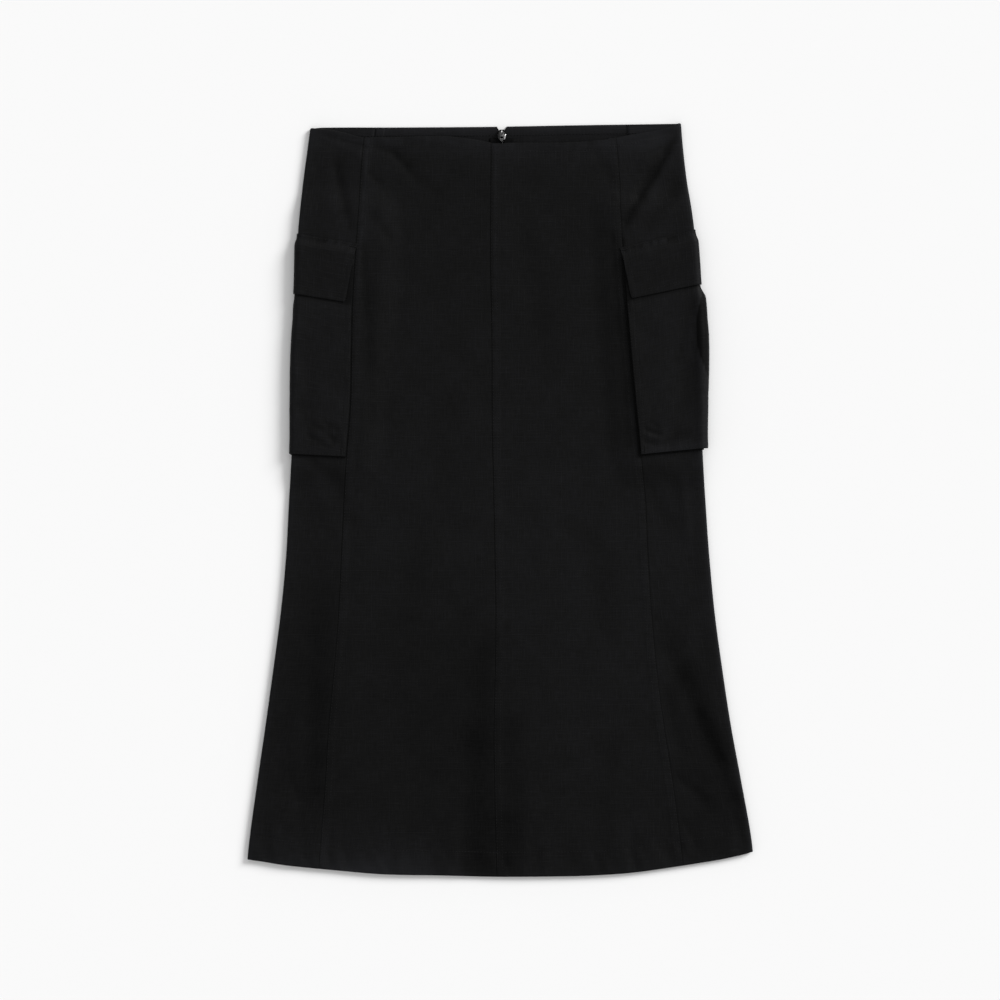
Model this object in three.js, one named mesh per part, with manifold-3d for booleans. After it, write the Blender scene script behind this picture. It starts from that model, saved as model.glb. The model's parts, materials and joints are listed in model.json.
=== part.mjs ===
// Cargo utility skirt laid flat with its front up. Sizes are in millimetres.
// +X is to the right of someone who looks down on it, +Y runs from the hem to the waist, +Z is up.
// The origin is on the table, under the middle of the laid skirt.
import * as THREE from 'three';
import { mergeVertices } from 'three/addons/utils/BufferGeometryUtils.js';
import Module from 'manifold-3d';

const wasm = await Module();
wasm.setup();

// Cloth and how it lies
const LENGTH = 800;
const CLOTH = 1.2;
const SEAM_GAP = 0.3;
const FRONT_LEVEL = 5;
const FOLD_RADIUS = 2.8;
const FOLD_EASE = 18;
const LEAST_SPACE = 0.4;
const MIDDLE = { x: 0.3, down: 400.2 };

// Turned edges, whose second layer lies inside
const HEM_DEPTH = 26;
const HEM_CLOTH = 2;
const BACK_HEM_RISE = 3;
const BACK_HEM_EASE = 40;
const WAIST_TURN = 10;
const WAIST_CLOTH = 1.8;
const TURN_STEP = 1.6;

// Cargo pockets, which wrap round the side folds and lift the skirt off the table there
const POCKET_CLOTH = 1;
const POCKET_LIFT = 3.2;
const LIFT_FROM = 95;
const LIFT_TO = 362;
const LIFT_MARGIN = 6;
const LIFT_EASE = 30;
const POCKET_BELOW_FLAP_TOP = 16;
const BACK_INSET = 3;
const CREASE_KEPT_ON_LIFT = 0.2;

// Zip in the middle of the back
const ZIP_X = 2;
const ZIP_LENGTH = 178;
const TAPE_TOP = 16.2;
const TAPE_WIDTH = 13;
const TAPE_CLOTH = 1;
const TAPE_BASE = 1.5;
const TAPE_BELOW = 4;
const COIL_WIDTH = 4.4;
const COIL_HEIGHT = 1.1;
const COIL_SHOULDER = 0.44;
const COIL_TOP_WIDTH = 2.6;
const SLIDER = { top: 7.3, length: 11, nose: 8.5, tail: 7, corner: 1.2, base: 2.8, height: 2.2 };
const CHANNEL = { width: 5.4, height: 1.1, slot: 0.5 };
const POST = { width: 1.6, length: 3, from: 0.4, sunk: 0.1 };
const BRIDGE = { width: 1.4, half: 1.6, opening: 0.9, height: 1.8, thick: 0.5 };
const TAB = { hinge: 10, top: 4.8, end: 4.2, length: 9.1, bar: 0.4, thick: 0.7, corner: 0.4 };
const TAB_WINDOW = { width: 2.2, from: 0.4, to: 2.7 };
const TAB_SLOT = { width: 2.8, length: 1.8, at: 4.8 };
const TAB_CLEAR = 0.3;
const CURVE_SEGMENTS = 3;

const table = (columns, rows) => rows.map(
  (row) => Object.fromEntries(columns.map((name, index) => [name, row[index]])),
);

// Cross-sections of the laid skirt, by distance down from its highest corner:
// the two side folds, the two princess seams and the centre-front seam.
const SECTIONS = table(['down', 'left', 'seamLeft', 'centre', 'seamRight', 'right'], [
  [0, -200.4, -142.2, -9.3, 121.3, 192.1],
  [28, -204.1, -145.3, -9.4, 124.3, 194.5],
  [60, -208.4, -148, -9.6, 126.8, 198.2],
  [90, -211.6, -149.6, -9.8, 127.6, 203],
  [120, -214.1, -151.6, -10, 129.4, 206.8],
  [160, -214.8, -154.4, -9.8, 131.9, 209.6],
  [200, -216.3, -156.4, -9, 135.1, 211.9],
  [250, -219, -157.3, -8.4, 139.5, 213.4],
  [300, -220.1, -158.4, -8.3, 144.2, 214.4],
  [345, -220.5, -161.8, -7.6, 148.6, 214.8],
  [400, -223.7, -165.3, -6.4, 154.2, 218.1],
  [460, -226.9, -168, -5.2, 156.9, 222.3],
  [520, -232.6, -171, -4.2, 160.8, 228],
  [580, -240.5, -175.8, -4.8, 166.2, 236.1],
  [640, -248.8, -181.5, -6.2, 173.9, 245.3],
  [700, -257.5, -185.1, -5.6, 183.3, 256.4],
  [760, -265.7, -189.7, -4.2, 191.1, 267],
  [800, -269.5, -192.6, -3.1, 195.5, 270.5],
]);

// The waist dips in front, so the inside of the back shows above it. The hem is a shallow curve.
const FRONT_WAIST = table(['x', 'down'], [
  [-200, 5.8], [-180, 7.4], [-164, 10.6], [-151, 14.4], [-143, 15.4], [-106, 14.8],
  [-57, 14.3], [-31, 17], [-12, 20.4], [-4, 22.2], [9, 21.2], [64, 20.7],
  [106, 18.6], [124, 15.4], [142, 12.2], [170, 7.4], [192, 0.6],
]);
const BACK_WAIST = table(['x', 'down'], [
  [-200, 5.8], [-188, 4.8], [-106, 4.6], [-10, 3.9], [79, 2.3], [155, 1.2], [192, 0.6],
]);
const HEM = table(['x', 'down'], [
  [-267, 781.6], [-252, 783.6], [-226, 787.7], [-175, 792.8], [-125, 797], [-60, 798.4], [-8, 799.7],
  [60, 799.4], [100, 798.3], [142, 795.3], [181, 789.9], [232, 781.8], [257, 776.4], [267, 773.6],
]);

// The V above the slider, as half its width by distance down
const NOTCH = table(['down', 'half'], [[4.5, 5], [9, 2.3], [14, 1.6], [50, SEAM_GAP / 2]]);

// Rows of every panel, as distance below the waist edge of a panel that is ROW_LENGTH long
const ROW_LENGTH = 790;
const TURNED_FROM = ROW_LENGTH - HEM_DEPTH;
const ROW_PASSES = 4;
const PLAIN_ROWS = [
  40, 68, 87, 112, 140, 172, 205, 240, 275, 310, 335, 354, 376, 415, 465, 515, 565, 612, 658, 700, 735,
];
const ROWS = table(['at', 'cloth'], [
  [0, WAIST_CLOTH], [WAIST_TURN, WAIST_CLOTH], [WAIST_TURN + TURN_STEP, CLOTH],
  ...PLAIN_ROWS.map((at) => [at, CLOTH]),
  [TURNED_FROM - TURN_STEP, CLOTH], [TURNED_FROM, HEM_CLOTH], [ROW_LENGTH, HEM_CLOTH],
]);

// The largest folds of the front, each from one point to another. A negative height is a trough.
const FOLDS = table(['x0', 'down0', 'x1', 'down1', 'width', 'height'], [
  // dragged from the upper right corner to the right flap
  [183, 15, 160, 55, 14, -1.2], [160, 55, 131, 108, 14, -1.2],
  // dragged from the upper left corner
  [-129, 28, -108, 33, 9, -0.9], [-108, 33, -74, 71, 10, -0.8],
  // above the left flap, beside both pockets and below the right one
  [-173, 41, -163, 95, 10, -1], [-131, 130, -128, 310, 12, -1], [110, 120, 118, 340, 12, -1],
  [197, 385, 199, 432, 9, 0.9],
  // the right flare: its trough, the trough's echo and the crest beside it
  [165, 527, 202, 591, 15, -1.3], [202, 591, 225, 654, 15, -1.3], [225, 654, 254, 734, 14, -1.2],
  [179, 612, 221, 731, 11, -0.7], [222, 600, 246, 700, 12, 1],
  // the left side and the lower middle
  [-190, 505, -194, 718, 20, -1.2], [-22, 548, -30, 790, 26, -1.2],
  // waves of the left hem
  [-236, 735, -230, 790, 22, 1.2], [-122, 720, -118, 800, 42, 1],
  // over the zip
  [ZIP_X, 20, ZIP_X, 176, 16, 1.1],
]);

// The pockets, by distance down at the side fold and the slope towards the front edge.
// "stand" is how far the pocket's inside lies off the panel, at the fold and at the front.
const POCKETS = {
  left: {
    flapTop: 117.7, flapTopSlope: 0.169, flapBottom: 182, flapBottomSlope: 0.16,
    bottom: 351.2, bottomSlope: 0.05,
    flapInset: -2.2, flapInsetBelow: 8.8, inset: 1.2, gussetInset: 0.9, gussetBelow: 1,
    standFold: 1.7, standFront: 1.8, standEdge: 1.8, bulge: 0.7,
  },
  right: {
    flapTop: 113.5, flapTopSlope: 0.235, flapBottom: 171.8, flapBottomSlope: 0.205,
    bottom: 345.2, bottomSlope: 0.097,
    flapInset: -3.6, flapInsetBelow: 6.2, inset: 0.4, gussetInset: -2, gussetBelow: 1.5,
    standFold: 5, standFront: 2.3, standEdge: 2.9, bulge: 3,
  },
};
const STAND_UNDER_FLAP = { back: 0.8, front: 1.6 };
const STAND_BACK = POCKET_LIFT - POCKET_CLOTH;
const FLAP_STAND = { back: STAND_BACK, front: STAND_UNDER_FLAP.front + POCKET_CLOTH + SEAM_GAP };
const FLAP_RISE = { from: 3, to: 13 };
const STAND_EASE = 12;
const FREE_FROM = 1;
const FREE_LENGTH = 13;
const EDGE_EASE = 16;
const BULGE_AT = 235;
const BULGE_LENGTH = 50;
const GUSSET_TUCK = 4;
const GUSSET_CLEAR = 0.5;
const GUSSET_BACK_INSET = 2;
const GUSSET_BACK_STEPS = 3;

const SIDES = {
  left: { name: 'left', fold: 'left', seam: 'seamLeft', inward: 1, other: 'right' },
  right: { name: 'right', fold: 'right', seam: 'seamRight', inward: -1, other: 'left' },
};

const lerp = THREE.MathUtils.lerp;
const ease = (part) => THREE.MathUtils.smoothstep(part, 0, 1);
const QUARTER = FOLD_RADIUS * Math.PI / 2;

// A smooth curve through the rows of a table, level beyond its ends
function along(rows, input, output, at) {
  const last = rows.length - 2;
  let index = 0;
  while (index < last && at > rows[index + 1][input]) index += 1;
  const slopeAt = (row) => {
    const low = rows[Math.max(row - 1, 0)];
    const high = rows[Math.min(row + 1, rows.length - 1)];
    return (high[output] - low[output]) / (high[input] - low[input]);
  };
  const start = rows[index];
  const end = rows[index + 1];
  const span = end[input] - start[input];
  const part = THREE.MathUtils.clamp((at - start[input]) / span, 0, 1);
  const squared = part * part;
  const cubed = squared * part;
  return start[output] * (2 * cubed - 3 * squared + 1)
    + end[output] * (3 * squared - 2 * cubed)
    + slopeAt(index) * span * (cubed - 2 * squared + part)
    + slopeAt(index + 1) * span * (cubed - squared);
}

const sectionAt = (name, down) => along(SECTIONS, 'down', name, down);
const foldX = (side, down) => sectionAt(side.fold, down);
const frontWidth = (side, down) => side.inward * (sectionAt(side.seam, down) - foldX(side, down));
// The skirt lies turned a little, so the back of each side panel is as wide as the other's front.
const backWidth = (side, down) => frontWidth(SIDES[side.other], down);
const backSeamX = (side, down) => foldX(side, down) + side.inward * backWidth(side, down);
const fromFold = (side, x, down) => side.inward * (x - foldX(side, down));

const frontWaist = (x) => along(FRONT_WAIST, 'x', 'down', x);
const backWaist = (x) => along(BACK_WAIST, 'x', 'down', x);
const frontHem = (x) => along(HEM, 'x', 'down', x);

function backHem(x) {
  const ends = [HEM[0].x, HEM[HEM.length - 1].x];
  const inside = Math.min(x - ends[0], ends[1] - x);
  return frontHem(x) - BACK_HEM_RISE * ease(THREE.MathUtils.clamp(inside / BACK_HEM_EASE, 0, 1));
}

// How high the back lies off the table: nothing, but over the hidden halves of the pockets
function lift(x, down) {
  let height = 0;
  for (const side of Object.values(SIDES)) {
    const reach = Math.max(frontWidth(side, down), backWidth(side, down)) + LIFT_MARGIN;
    const across = Math.max(0, fromFold(side, x, down) - reach);
    const beyond = Math.max(0, LIFT_FROM - down, down - LIFT_TO);
    const part = Math.min(1, Math.hypot(across, beyond) / LIFT_EASE);
    height = Math.max(height, POCKET_LIFT * (1 - ease(part)));
  }
  return height;
}

function foldsAt(x, down) {
  return FOLDS.reduce((sum, fold) => {
    const run = new THREE.Vector2(fold.x1 - fold.x0, fold.down1 - fold.down0);
    const to = new THREE.Vector2(x - fold.x0, down - fold.down0);
    const part = THREE.MathUtils.clamp(to.dot(run) / run.lengthSq(), 0, 1);
    const away = to.addScaledVector(run, -part).length() / fold.width;
    return sum + fold.height * Math.exp(-away * away);
  }, 0);
}

// The top of the front panels: level, a little higher by the side folds, with its folds
function frontTop(x, down, cloth) {
  const raised = lift(x, down);
  const inside = Math.min(...Object.values(SIDES).map((side) => fromFold(side, x, down)));
  const byFold = 1 - ease(THREE.MathUtils.clamp((inside - FOLD_RADIUS) / FOLD_EASE, 0, 1));
  const kept = 1 - (1 - CREASE_KEPT_ON_LIFT) * raised / POCKET_LIFT;
  const level = FRONT_LEVEL + (2 * FOLD_RADIUS - FRONT_LEVEL) * byFold;
  const lying = level + foldsAt(x, down) * (1 - byFold) * kept;
  return raised + Math.max(lying, 2 * cloth + LEAST_SPACE);
}

// How far down a row crosses a column, between the panel's waist edge and its hem
function rowDown(part, xAt, waist, hem) {
  let down = part * LENGTH;
  for (let pass = 0; pass < ROW_PASSES; pass += 1) {
    const x = xAt(down);
    down = lerp(waist(x), hem(x), part);
  }
  return down;
}

const place = (x, down, z) => new THREE.Vector3(x - MIDDLE.x, MIDDLE.down - down, z);

function volumeOf(positions, faces) {
  return faces.reduce((sum, [a, b, c]) => (
    sum + positions[a].dot(positions[b].clone().cross(positions[c])) / 6
  ), 0);
}

// One closed wall of cloth between a grid of outer points and a grid of inner points
function wall(outer, inner) {
  const columns = outer.length;
  const rows = outer[0].length;
  const positions = [...outer.flat(), ...inner.flat()];
  const out = (column, row) => column * rows + row;
  const faces = [];
  const quad = (a, b, c, d) => faces.push([a, b, c], [a, c, d]);
  const inside = columns * rows;
  const edge = (a, b) => quad(b, a, a + inside, b + inside);
  for (let column = 0; column + 1 < columns; column += 1) {
    for (let row = 0; row + 1 < rows; row += 1) {
      const corners = [
        out(column, row), out(column + 1, row), out(column + 1, row + 1), out(column, row + 1),
      ];
      quad(...corners);
      quad(...corners.reverse().map((corner) => corner + inside));
    }
    edge(out(column, 0), out(column + 1, 0));
    edge(out(column + 1, rows - 1), out(column, rows - 1));
  }
  for (let row = 0; row + 1 < rows; row += 1) {
    edge(out(0, row + 1), out(0, row));
    edge(out(columns - 1, row), out(columns - 1, row + 1));
  }
  if (volumeOf(positions, faces) < 0) faces.forEach((face) => face.reverse());
  const geometry = new THREE.BufferGeometry().setFromPoints(positions);
  geometry.setIndex(faces.flat());
  geometry.computeVertexNormals();
  return geometry;
}

const steps = (count) => Array.from({ length: count + 1 }, (_, index) => index / count);

// A panel of the front or the back between two seams, each given as x by distance down
function flatPanel(seamA, seamB, count, isFront) {
  const [waist, hem] = isFront ? [frontWaist, frontHem] : [backWaist, backHem];
  const outer = [];
  const inner = [];
  for (const part of steps(count)) {
    const xAt = (down) => lerp(seamA(down), seamB(down), part);
    const cells = ROWS.map((row) => {
      const down = rowDown(row.at / ROW_LENGTH, xAt, waist, hem);
      const x = xAt(down);
      const z = isFront ? frontTop(x, down, row.cloth) : lift(x, down);
      const inwards = isFront ? -row.cloth : row.cloth;
      return { out: place(x, down, z), in: place(x, down, z + inwards) };
    });
    outer.push(cells.map((cell) => cell.out));
    inner.push(cells.map((cell) => cell.in));
  }
  return wall(outer, inner);
}

// A point of a side panel. "turn" is the distance round it from the side fold, to the front above
// zero and to the back below it, and "stand" is how far the point lies off the panel's outside.
function sidePoint(side, turn, down, stand, cloth = CLOTH) {
  const x0 = foldX(side, down);
  if (Math.abs(turn) <= QUARTER) {
    const angle = turn / FOLD_RADIUS;
    const radius = FOLD_RADIUS + stand;
    const x = x0 + side.inward * (FOLD_RADIUS - radius * Math.cos(angle));
    return place(x, down, lift(x0, down) + FOLD_RADIUS + radius * Math.sin(angle));
  }
  const x = x0 + side.inward * (FOLD_RADIUS + Math.abs(turn) - QUARTER);
  const isFront = turn > 0;
  const z = isFront ? frontTop(x, down, cloth) + stand : lift(x, down) - stand;
  return place(x, down, z);
}

// The columns of anything that wraps round a side fold, from the back seam to the front one
const WRAP_BACK = 4;
const WRAP_TURN = 5;
const WRAP_FRONT = 6;
const WRAP = [
  ...steps(WRAP_BACK).slice(1).reverse().map((part) => ({ layer: 'back', part })),
  ...steps(WRAP_TURN).map((part) => ({ layer: 'turn', part: 2 * part - 1 })),
  ...steps(WRAP_FRONT).slice(1).map((part) => ({ layer: 'front', part })),
];

function wrapTurn(side, column, down, frontInset, backInset) {
  if (column.layer === 'turn') return column.part * QUARTER;
  if (column.layer === 'front') {
    return QUARTER + column.part * (frontWidth(side, down) - FOLD_RADIUS - frontInset);
  }
  return -QUARTER - column.part * (backWidth(side, down) - FOLD_RADIUS - backInset);
}

function sidePanel(side) {
  const outer = [];
  const inner = [];
  for (const column of WRAP) {
    const isBack = column.layer === 'back';
    const [waist, hem] = isBack ? [backWaist, backHem] : [frontWaist, frontHem];
    const turnAt = (down) => wrapTurn(side, column, down, SEAM_GAP / 2, SEAM_GAP / 2);
    const xAt = (down) => foldX(side, down)
      + side.inward * Math.max(0, Math.abs(turnAt(down)) - QUARTER + FOLD_RADIUS);
    const edgeX = column.layer === 'turn' ? (down) => foldX(side, down) : xAt;
    const cells = ROWS.map((row) => {
      const down = rowDown(row.at / ROW_LENGTH, edgeX, waist, hem);
      const turn = turnAt(down);
      return {
        out: sidePoint(side, turn, down, 0, row.cloth),
        in: sidePoint(side, turn, down, -row.cloth, row.cloth),
      };
    });
    outer.push(cells.map((cell) => cell.out));
    inner.push(cells.map((cell) => cell.in));
  }
  return wall(outer, inner);
}

const flapTop = (pocket, turn) => pocket.flapTop + pocket.flapTopSlope * turn;
const flapBottom = (pocket, turn) => pocket.flapBottom + pocket.flapBottomSlope * turn;
const pocketBottom = (pocket, turn) => pocket.bottom + pocket.bottomSlope * turn;

// From 0 on the hidden side of the fold to 1 on the front
const roundFold = (turn) => THREE.MathUtils.clamp((turn / QUARTER + 1) / 2, 0, 1);

// How far the inside of a pocket's face stands off the panel
function pocketStand(side, turn, down) {
  const pocket = POCKETS[side.name];
  const covered = lerp(STAND_UNDER_FLAP.back, STAND_UNDER_FLAP.front, roundFold(turn));
  const below = down - flapBottom(pocket, turn) - FREE_FROM;
  const free = ease(THREE.MathUtils.clamp(below / FREE_LENGTH, 0, 1));
  const swell = Math.exp(-(((down - BULGE_AT) / BULGE_LENGTH) ** 2)) * pocket.bulge;
  const atFold = pocket.standFold + swell;
  const seam = QUARTER + frontWidth(side, down) - FOLD_RADIUS - pocket.inset;
  const byEdge = 1 - ease(THREE.MathUtils.clamp((seam - turn) / EDGE_EASE, 0, 1));
  const onFront = lerp(pocket.standFront, pocket.standEdge, byEdge);
  const [flat, reach] = turn >= 0 ? [onFront, STAND_EASE] : [STAND_BACK, QUARTER];
  const left = 1 - Math.min(1, Math.abs(turn) / reach);
  return lerp(covered, lerp(flat, atFold, left * left), free);
}

// A sheet on a side panel. Each row gives its distance down and its stand at a distance round.
function wrapSheet(side, insets, rows) {
  const outer = [];
  const inner = [];
  for (const column of WRAP) {
    const cells = rows.map((row) => {
      let turn = wrapTurn(side, column, row.down(0), insets.front(row.part), insets.back);
      let down = row.down(turn);
      turn = wrapTurn(side, column, down, insets.front(row.part), insets.back);
      down = row.down(turn);
      const stand = row.stand(turn, down);
      return {
        out: sidePoint(side, turn, down, stand + POCKET_CLOTH),
        in: sidePoint(side, turn, down, stand),
      };
    });
    outer.push(cells.map((cell) => cell.out));
    inner.push(cells.map((cell) => cell.in));
  }
  return wall(outer, inner);
}

// The rows of a pocket's face: under the flap, clear of it, and on down to the bottom
function faceRows(pocket) {
  const top = (turn) => flapTop(pocket, turn) + POCKET_BELOW_FLAP_TOP;
  const underFlap = (turn) => flapBottom(pocket, turn) + FREE_FROM;
  const clear = (turn) => underFlap(turn) + FREE_LENGTH;
  const bottom = (turn) => pocketBottom(pocket, turn);
  const between = (part) => (turn) => lerp(clear(turn), bottom(turn), part);
  return [top, underFlap, clear, between(0.25), between(0.5), between(0.75), bottom];
}

function pocketFace(side) {
  const pocket = POCKETS[side.name];
  const stand = (turn, down) => pocketStand(side, turn, down);
  const rows = faceRows(pocket).map((down) => ({ down, stand, part: 0 }));
  return wrapSheet(side, { front: () => pocket.inset, back: BACK_INSET }, rows);
}

function pocketFlap(side) {
  const pocket = POCKETS[side.name];
  const full = (turn) => lerp(FLAP_STAND.back, FLAP_STAND.front, roundFold(turn));
  const rowAt = (from, part, rise) => ({
    part,
    down: (turn) => lerp(flapTop(pocket, turn) + from, flapBottom(pocket, turn), part),
    stand: (turn) => lerp(SEAM_GAP, full(turn), rise),
  });
  const rows = [
    rowAt(0, 0, 0), rowAt(FLAP_RISE.from, 0, 0), rowAt(FLAP_RISE.to, 0, 1),
    rowAt(FLAP_RISE.to, 0.5, 1), rowAt(FLAP_RISE.to, 1, 1),
  ];
  const front = (part) => lerp(pocket.flapInset, pocket.flapInsetBelow, part);
  return wrapSheet(side, { front, back: BACK_INSET }, rows);
}

// The folded strip between pocket and panel: down the front edge, along the bottom, up the back
function pocketGusset(side) {
  const pocket = POCKETS[side.name];
  const frontTurn = (down, inset) => wrapTurn(side, { layer: 'front', part: 1 }, down, inset, 0);
  const backTurn = (down, inset) => wrapTurn(side, { layer: 'back', part: 1 }, down, 0, inset);
  const tucked = pocket.inset + GUSSET_TUCK;
  const frontEnd = pocketBottom(pocket, frontTurn(pocket.bottom, 0));
  const backEnd = pocketBottom(pocket, backTurn(pocket.bottom, 0));
  const backTop = flapBottom(pocket, backTurn(pocket.flapBottom, 0)) + POCKET_BELOW_FLAP_TOP;
  const stations = [];
  for (const row of faceRows(pocket)) {
    const down = Math.min(row(frontTurn(pocket.bottom, 0)), frontEnd - 2 * GUSSET_TUCK);
    stations.push({
      outer: { turn: frontTurn(down, pocket.gussetInset), down },
      inner: { turn: frontTurn(down, tucked), down },
    });
  }
  for (const column of [...WRAP].reverse()) {
    const outerTurn = wrapTurn(side, column, frontEnd, pocket.gussetInset, GUSSET_BACK_INSET);
    const innerTurn = wrapTurn(side, column, frontEnd, tucked, BACK_INSET + GUSSET_TUCK);
    stations.push({
      outer: { turn: outerTurn, down: pocketBottom(pocket, outerTurn) + pocket.gussetBelow },
      inner: { turn: innerTurn, down: pocketBottom(pocket, innerTurn) - GUSSET_TUCK },
    });
  }
  for (const part of steps(GUSSET_BACK_STEPS)) {
    const down = lerp(backEnd - 2 * GUSSET_TUCK, backTop, part);
    stations.push({
      outer: { turn: backTurn(down, GUSSET_BACK_INSET), down },
      inner: { turn: backTurn(down, BACK_INSET + GUSSET_TUCK), down },
    });
  }
  const outer = [];
  const inner = [];
  for (const station of stations) {
    const { turn, down } = station.inner;
    const raised = pocketStand(side, turn, down) - POCKET_CLOTH - GUSSET_CLEAR;
    const low = (stand) => sidePoint(side, station.outer.turn, station.outer.down, stand);
    const high = (stand) => sidePoint(side, turn, down, stand);
    outer.push([low(SEAM_GAP + POCKET_CLOTH), high(raised + POCKET_CLOTH)]);
    inner.push([low(SEAM_GAP), high(raised)]);
  }
  return wall(outer, inner);
}

const notchHalf = (down) => along(NOTCH, 'down', 'half', down);

// One tape of the zip, lying on the inside of the back beside its edge
function zipTape(inward) {
  const rows = [TAPE_TOP, NOTCH[NOTCH.length - 1].down, ZIP_LENGTH + TAPE_BELOW];
  const edges = [(down) => notchHalf(down) + SEAM_GAP, () => TAPE_WIDTH];
  const sheet = (z) => edges.map(
    (away) => rows.map((down) => place(ZIP_X + inward * away(down), down, z)),
  );
  return wall(sheet(TAPE_BASE + TAPE_CLOTH), sheet(TAPE_BASE));
}

// The closed coil below the slider, one rounded strip
function zipCoil() {
  const half = COIL_WIDTH / 2;
  const top = COIL_TOP_WIDTH / 2;
  const section = new THREE.Shape([
    new THREE.Vector2(-half, 0), new THREE.Vector2(half, 0),
    new THREE.Vector2(half, COIL_SHOULDER), new THREE.Vector2(top, COIL_HEIGHT),
    new THREE.Vector2(-top, COIL_HEIGHT), new THREE.Vector2(-half, COIL_SHOULDER),
  ]);
  const from = SLIDER.top + SLIDER.length + SEAM_GAP;
  const geometry = new THREE.ExtrudeGeometry(section, { depth: ZIP_LENGTH - from, bevelEnabled: false });
  geometry.rotateX(Math.PI / 2);
  geometry.translate(...place(ZIP_X, from, SLIDER.base).toArray());
  return geometry;
}

function toSolid(geometry) {
  const bare = geometry.clone();
  bare.deleteAttribute('normal');
  bare.deleteAttribute('uv');
  const merged = mergeVertices(bare);
  return new wasm.Manifold(new wasm.Mesh({
    numProp: 3,
    vertProperties: new Float32Array(merged.attributes.position.array),
    triVerts: new Uint32Array(merged.index.array),
  }));
}

function fromSolid(solid) {
  const mesh = solid.getMesh();
  const geometry = new THREE.BufferGeometry();
  geometry.setAttribute('position', new THREE.BufferAttribute(mesh.vertProperties, 3));
  geometry.setIndex(new THREE.BufferAttribute(mesh.triVerts, 1));
  geometry.computeVertexNormals();
  return geometry;
}

const block = (width, length, height, y, z) => toSolid(
  new THREE.BoxGeometry(width, length, height).translate(0, y, z),
);

// A plate that tapers from one width to another, with round corners, its wide end at y = from
function taperedShape(from, to, wide, narrow, corner) {
  const shape = new THREE.Shape();
  const w = wide / 2;
  const n = narrow / 2;
  shape.moveTo(-w + corner, from);
  shape.lineTo(w - corner, from);
  shape.quadraticCurveTo(w, from, w, from - corner);
  shape.lineTo(n, to + corner);
  shape.quadraticCurveTo(n, to, n - corner, to);
  shape.lineTo(-n + corner, to);
  shape.quadraticCurveTo(-n, to, -n, to + corner);
  shape.lineTo(-w, from - corner);
  shape.quadraticCurveTo(-w, from, -w + corner, from);
  return shape;
}

// The slider: two plates joined by a post in its nose, flanges that grip the coil, and the bridge
// over the pull tab's bar. It is made with the bridge at the middle of its own frame.
function zipSlider() {
  const nose = TAB.hinge - SLIDER.top;
  const tail = nose - SLIDER.length;
  const middle = (nose + tail) / 2;
  const outline = taperedShape(nose, tail, SLIDER.nose, SLIDER.tail, SLIDER.corner);
  const body = toSolid(new THREE.ExtrudeGeometry(
    outline, { depth: SLIDER.height, bevelEnabled: false, curveSegments: CURVE_SEGMENTS },
  ));
  const across = SLIDER.height / 2;
  const long = SLIDER.length * 2;
  const channel = block(CHANNEL.width, long, CHANNEL.height, middle, across);
  const slots = block(2 * SLIDER.nose, long, CHANNEL.slot, middle, across);
  const postHeight = CHANNEL.height + 2 * POST.sunk;
  const post = block(POST.width, POST.length, postHeight, nose - POST.length / 2 - POST.from, across);
  const arch = new THREE.Shape();
  arch.moveTo(-BRIDGE.half, -BRIDGE.thick);
  arch.lineTo(-BRIDGE.half, BRIDGE.height - BRIDGE.thick);
  arch.quadraticCurveTo(-BRIDGE.half, BRIDGE.height, -BRIDGE.opening, BRIDGE.height);
  arch.lineTo(BRIDGE.opening, BRIDGE.height);
  arch.quadraticCurveTo(BRIDGE.half, BRIDGE.height, BRIDGE.half, BRIDGE.height - BRIDGE.thick);
  arch.lineTo(BRIDGE.half, -BRIDGE.thick);
  const bar = new THREE.ExtrudeGeometry(
    arch, { depth: BRIDGE.width, bevelEnabled: false, curveSegments: CURVE_SEGMENTS },
  );
  bar.translate(0, 0, -BRIDGE.width / 2);
  bar.rotateX(Math.PI / 2);
  bar.rotateZ(Math.PI / 2);
  bar.translate(0, 0, SLIDER.height);
  const opening = block(
    2 * BRIDGE.width, 2 * BRIDGE.opening, BRIDGE.height - BRIDGE.thick,
    0, SLIDER.height + (BRIDGE.height - BRIDGE.thick) / 2,
  );
  const solid = body.subtract(channel).subtract(slots).add(post).add(toSolid(bar).subtract(opening));
  return fromSolid(solid);
}

// The pull tab lies on the slider. Its bar is the hinge, and the bridge goes through its window.
function pullTab() {
  const shape = taperedShape(TAB.bar, -TAB.length, TAB.top, TAB.end, TAB.corner);
  const hole = (width, near, far) => new THREE.Path([
    new THREE.Vector2(-width / 2, -far), new THREE.Vector2(width / 2, -far),
    new THREE.Vector2(width / 2, -near), new THREE.Vector2(-width / 2, -near),
  ]);
  shape.holes.push(hole(TAB_WINDOW.width, TAB_WINDOW.from, TAB_WINDOW.to));
  shape.holes.push(hole(TAB_SLOT.width, TAB_SLOT.at, TAB_SLOT.at + TAB_SLOT.length));
  return new THREE.ExtrudeGeometry(
    shape, { depth: TAB.thick, bevelEnabled: false, curveSegments: CURVE_SEGMENTS },
  );
}

const skirt = new THREE.Group();

function piece(name, geometry, finish, position = new THREE.Vector3()) {
  const mesh = new THREE.Mesh(geometry, new THREE.MeshStandardMaterial(finish));
  mesh.name = name;
  mesh.position.copy(position);
  skirt.add(mesh);
}

const RIPSTOP = { color: '#18181b', roughness: 0.85, metalness: 0 };
const TAPE_FINISH = { color: '#101012', roughness: 0.9, metalness: 0 };
const METAL = { color: '#9a9a9c', roughness: 0.35, metalness: 1 };

const half = SEAM_GAP / 2;
const seam = (name, shift) => (down) => sectionAt(name, down) + shift;
const backSeam = (side) => (down) => backSeamX(side, down) + side.inward * half;
const FRONT_COLUMNS = 9;
const BACK_COLUMNS = 5;

const centreLeft = (down) => ZIP_X - notchHalf(down);
const centreRight = (down) => ZIP_X + notchHalf(down);

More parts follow.
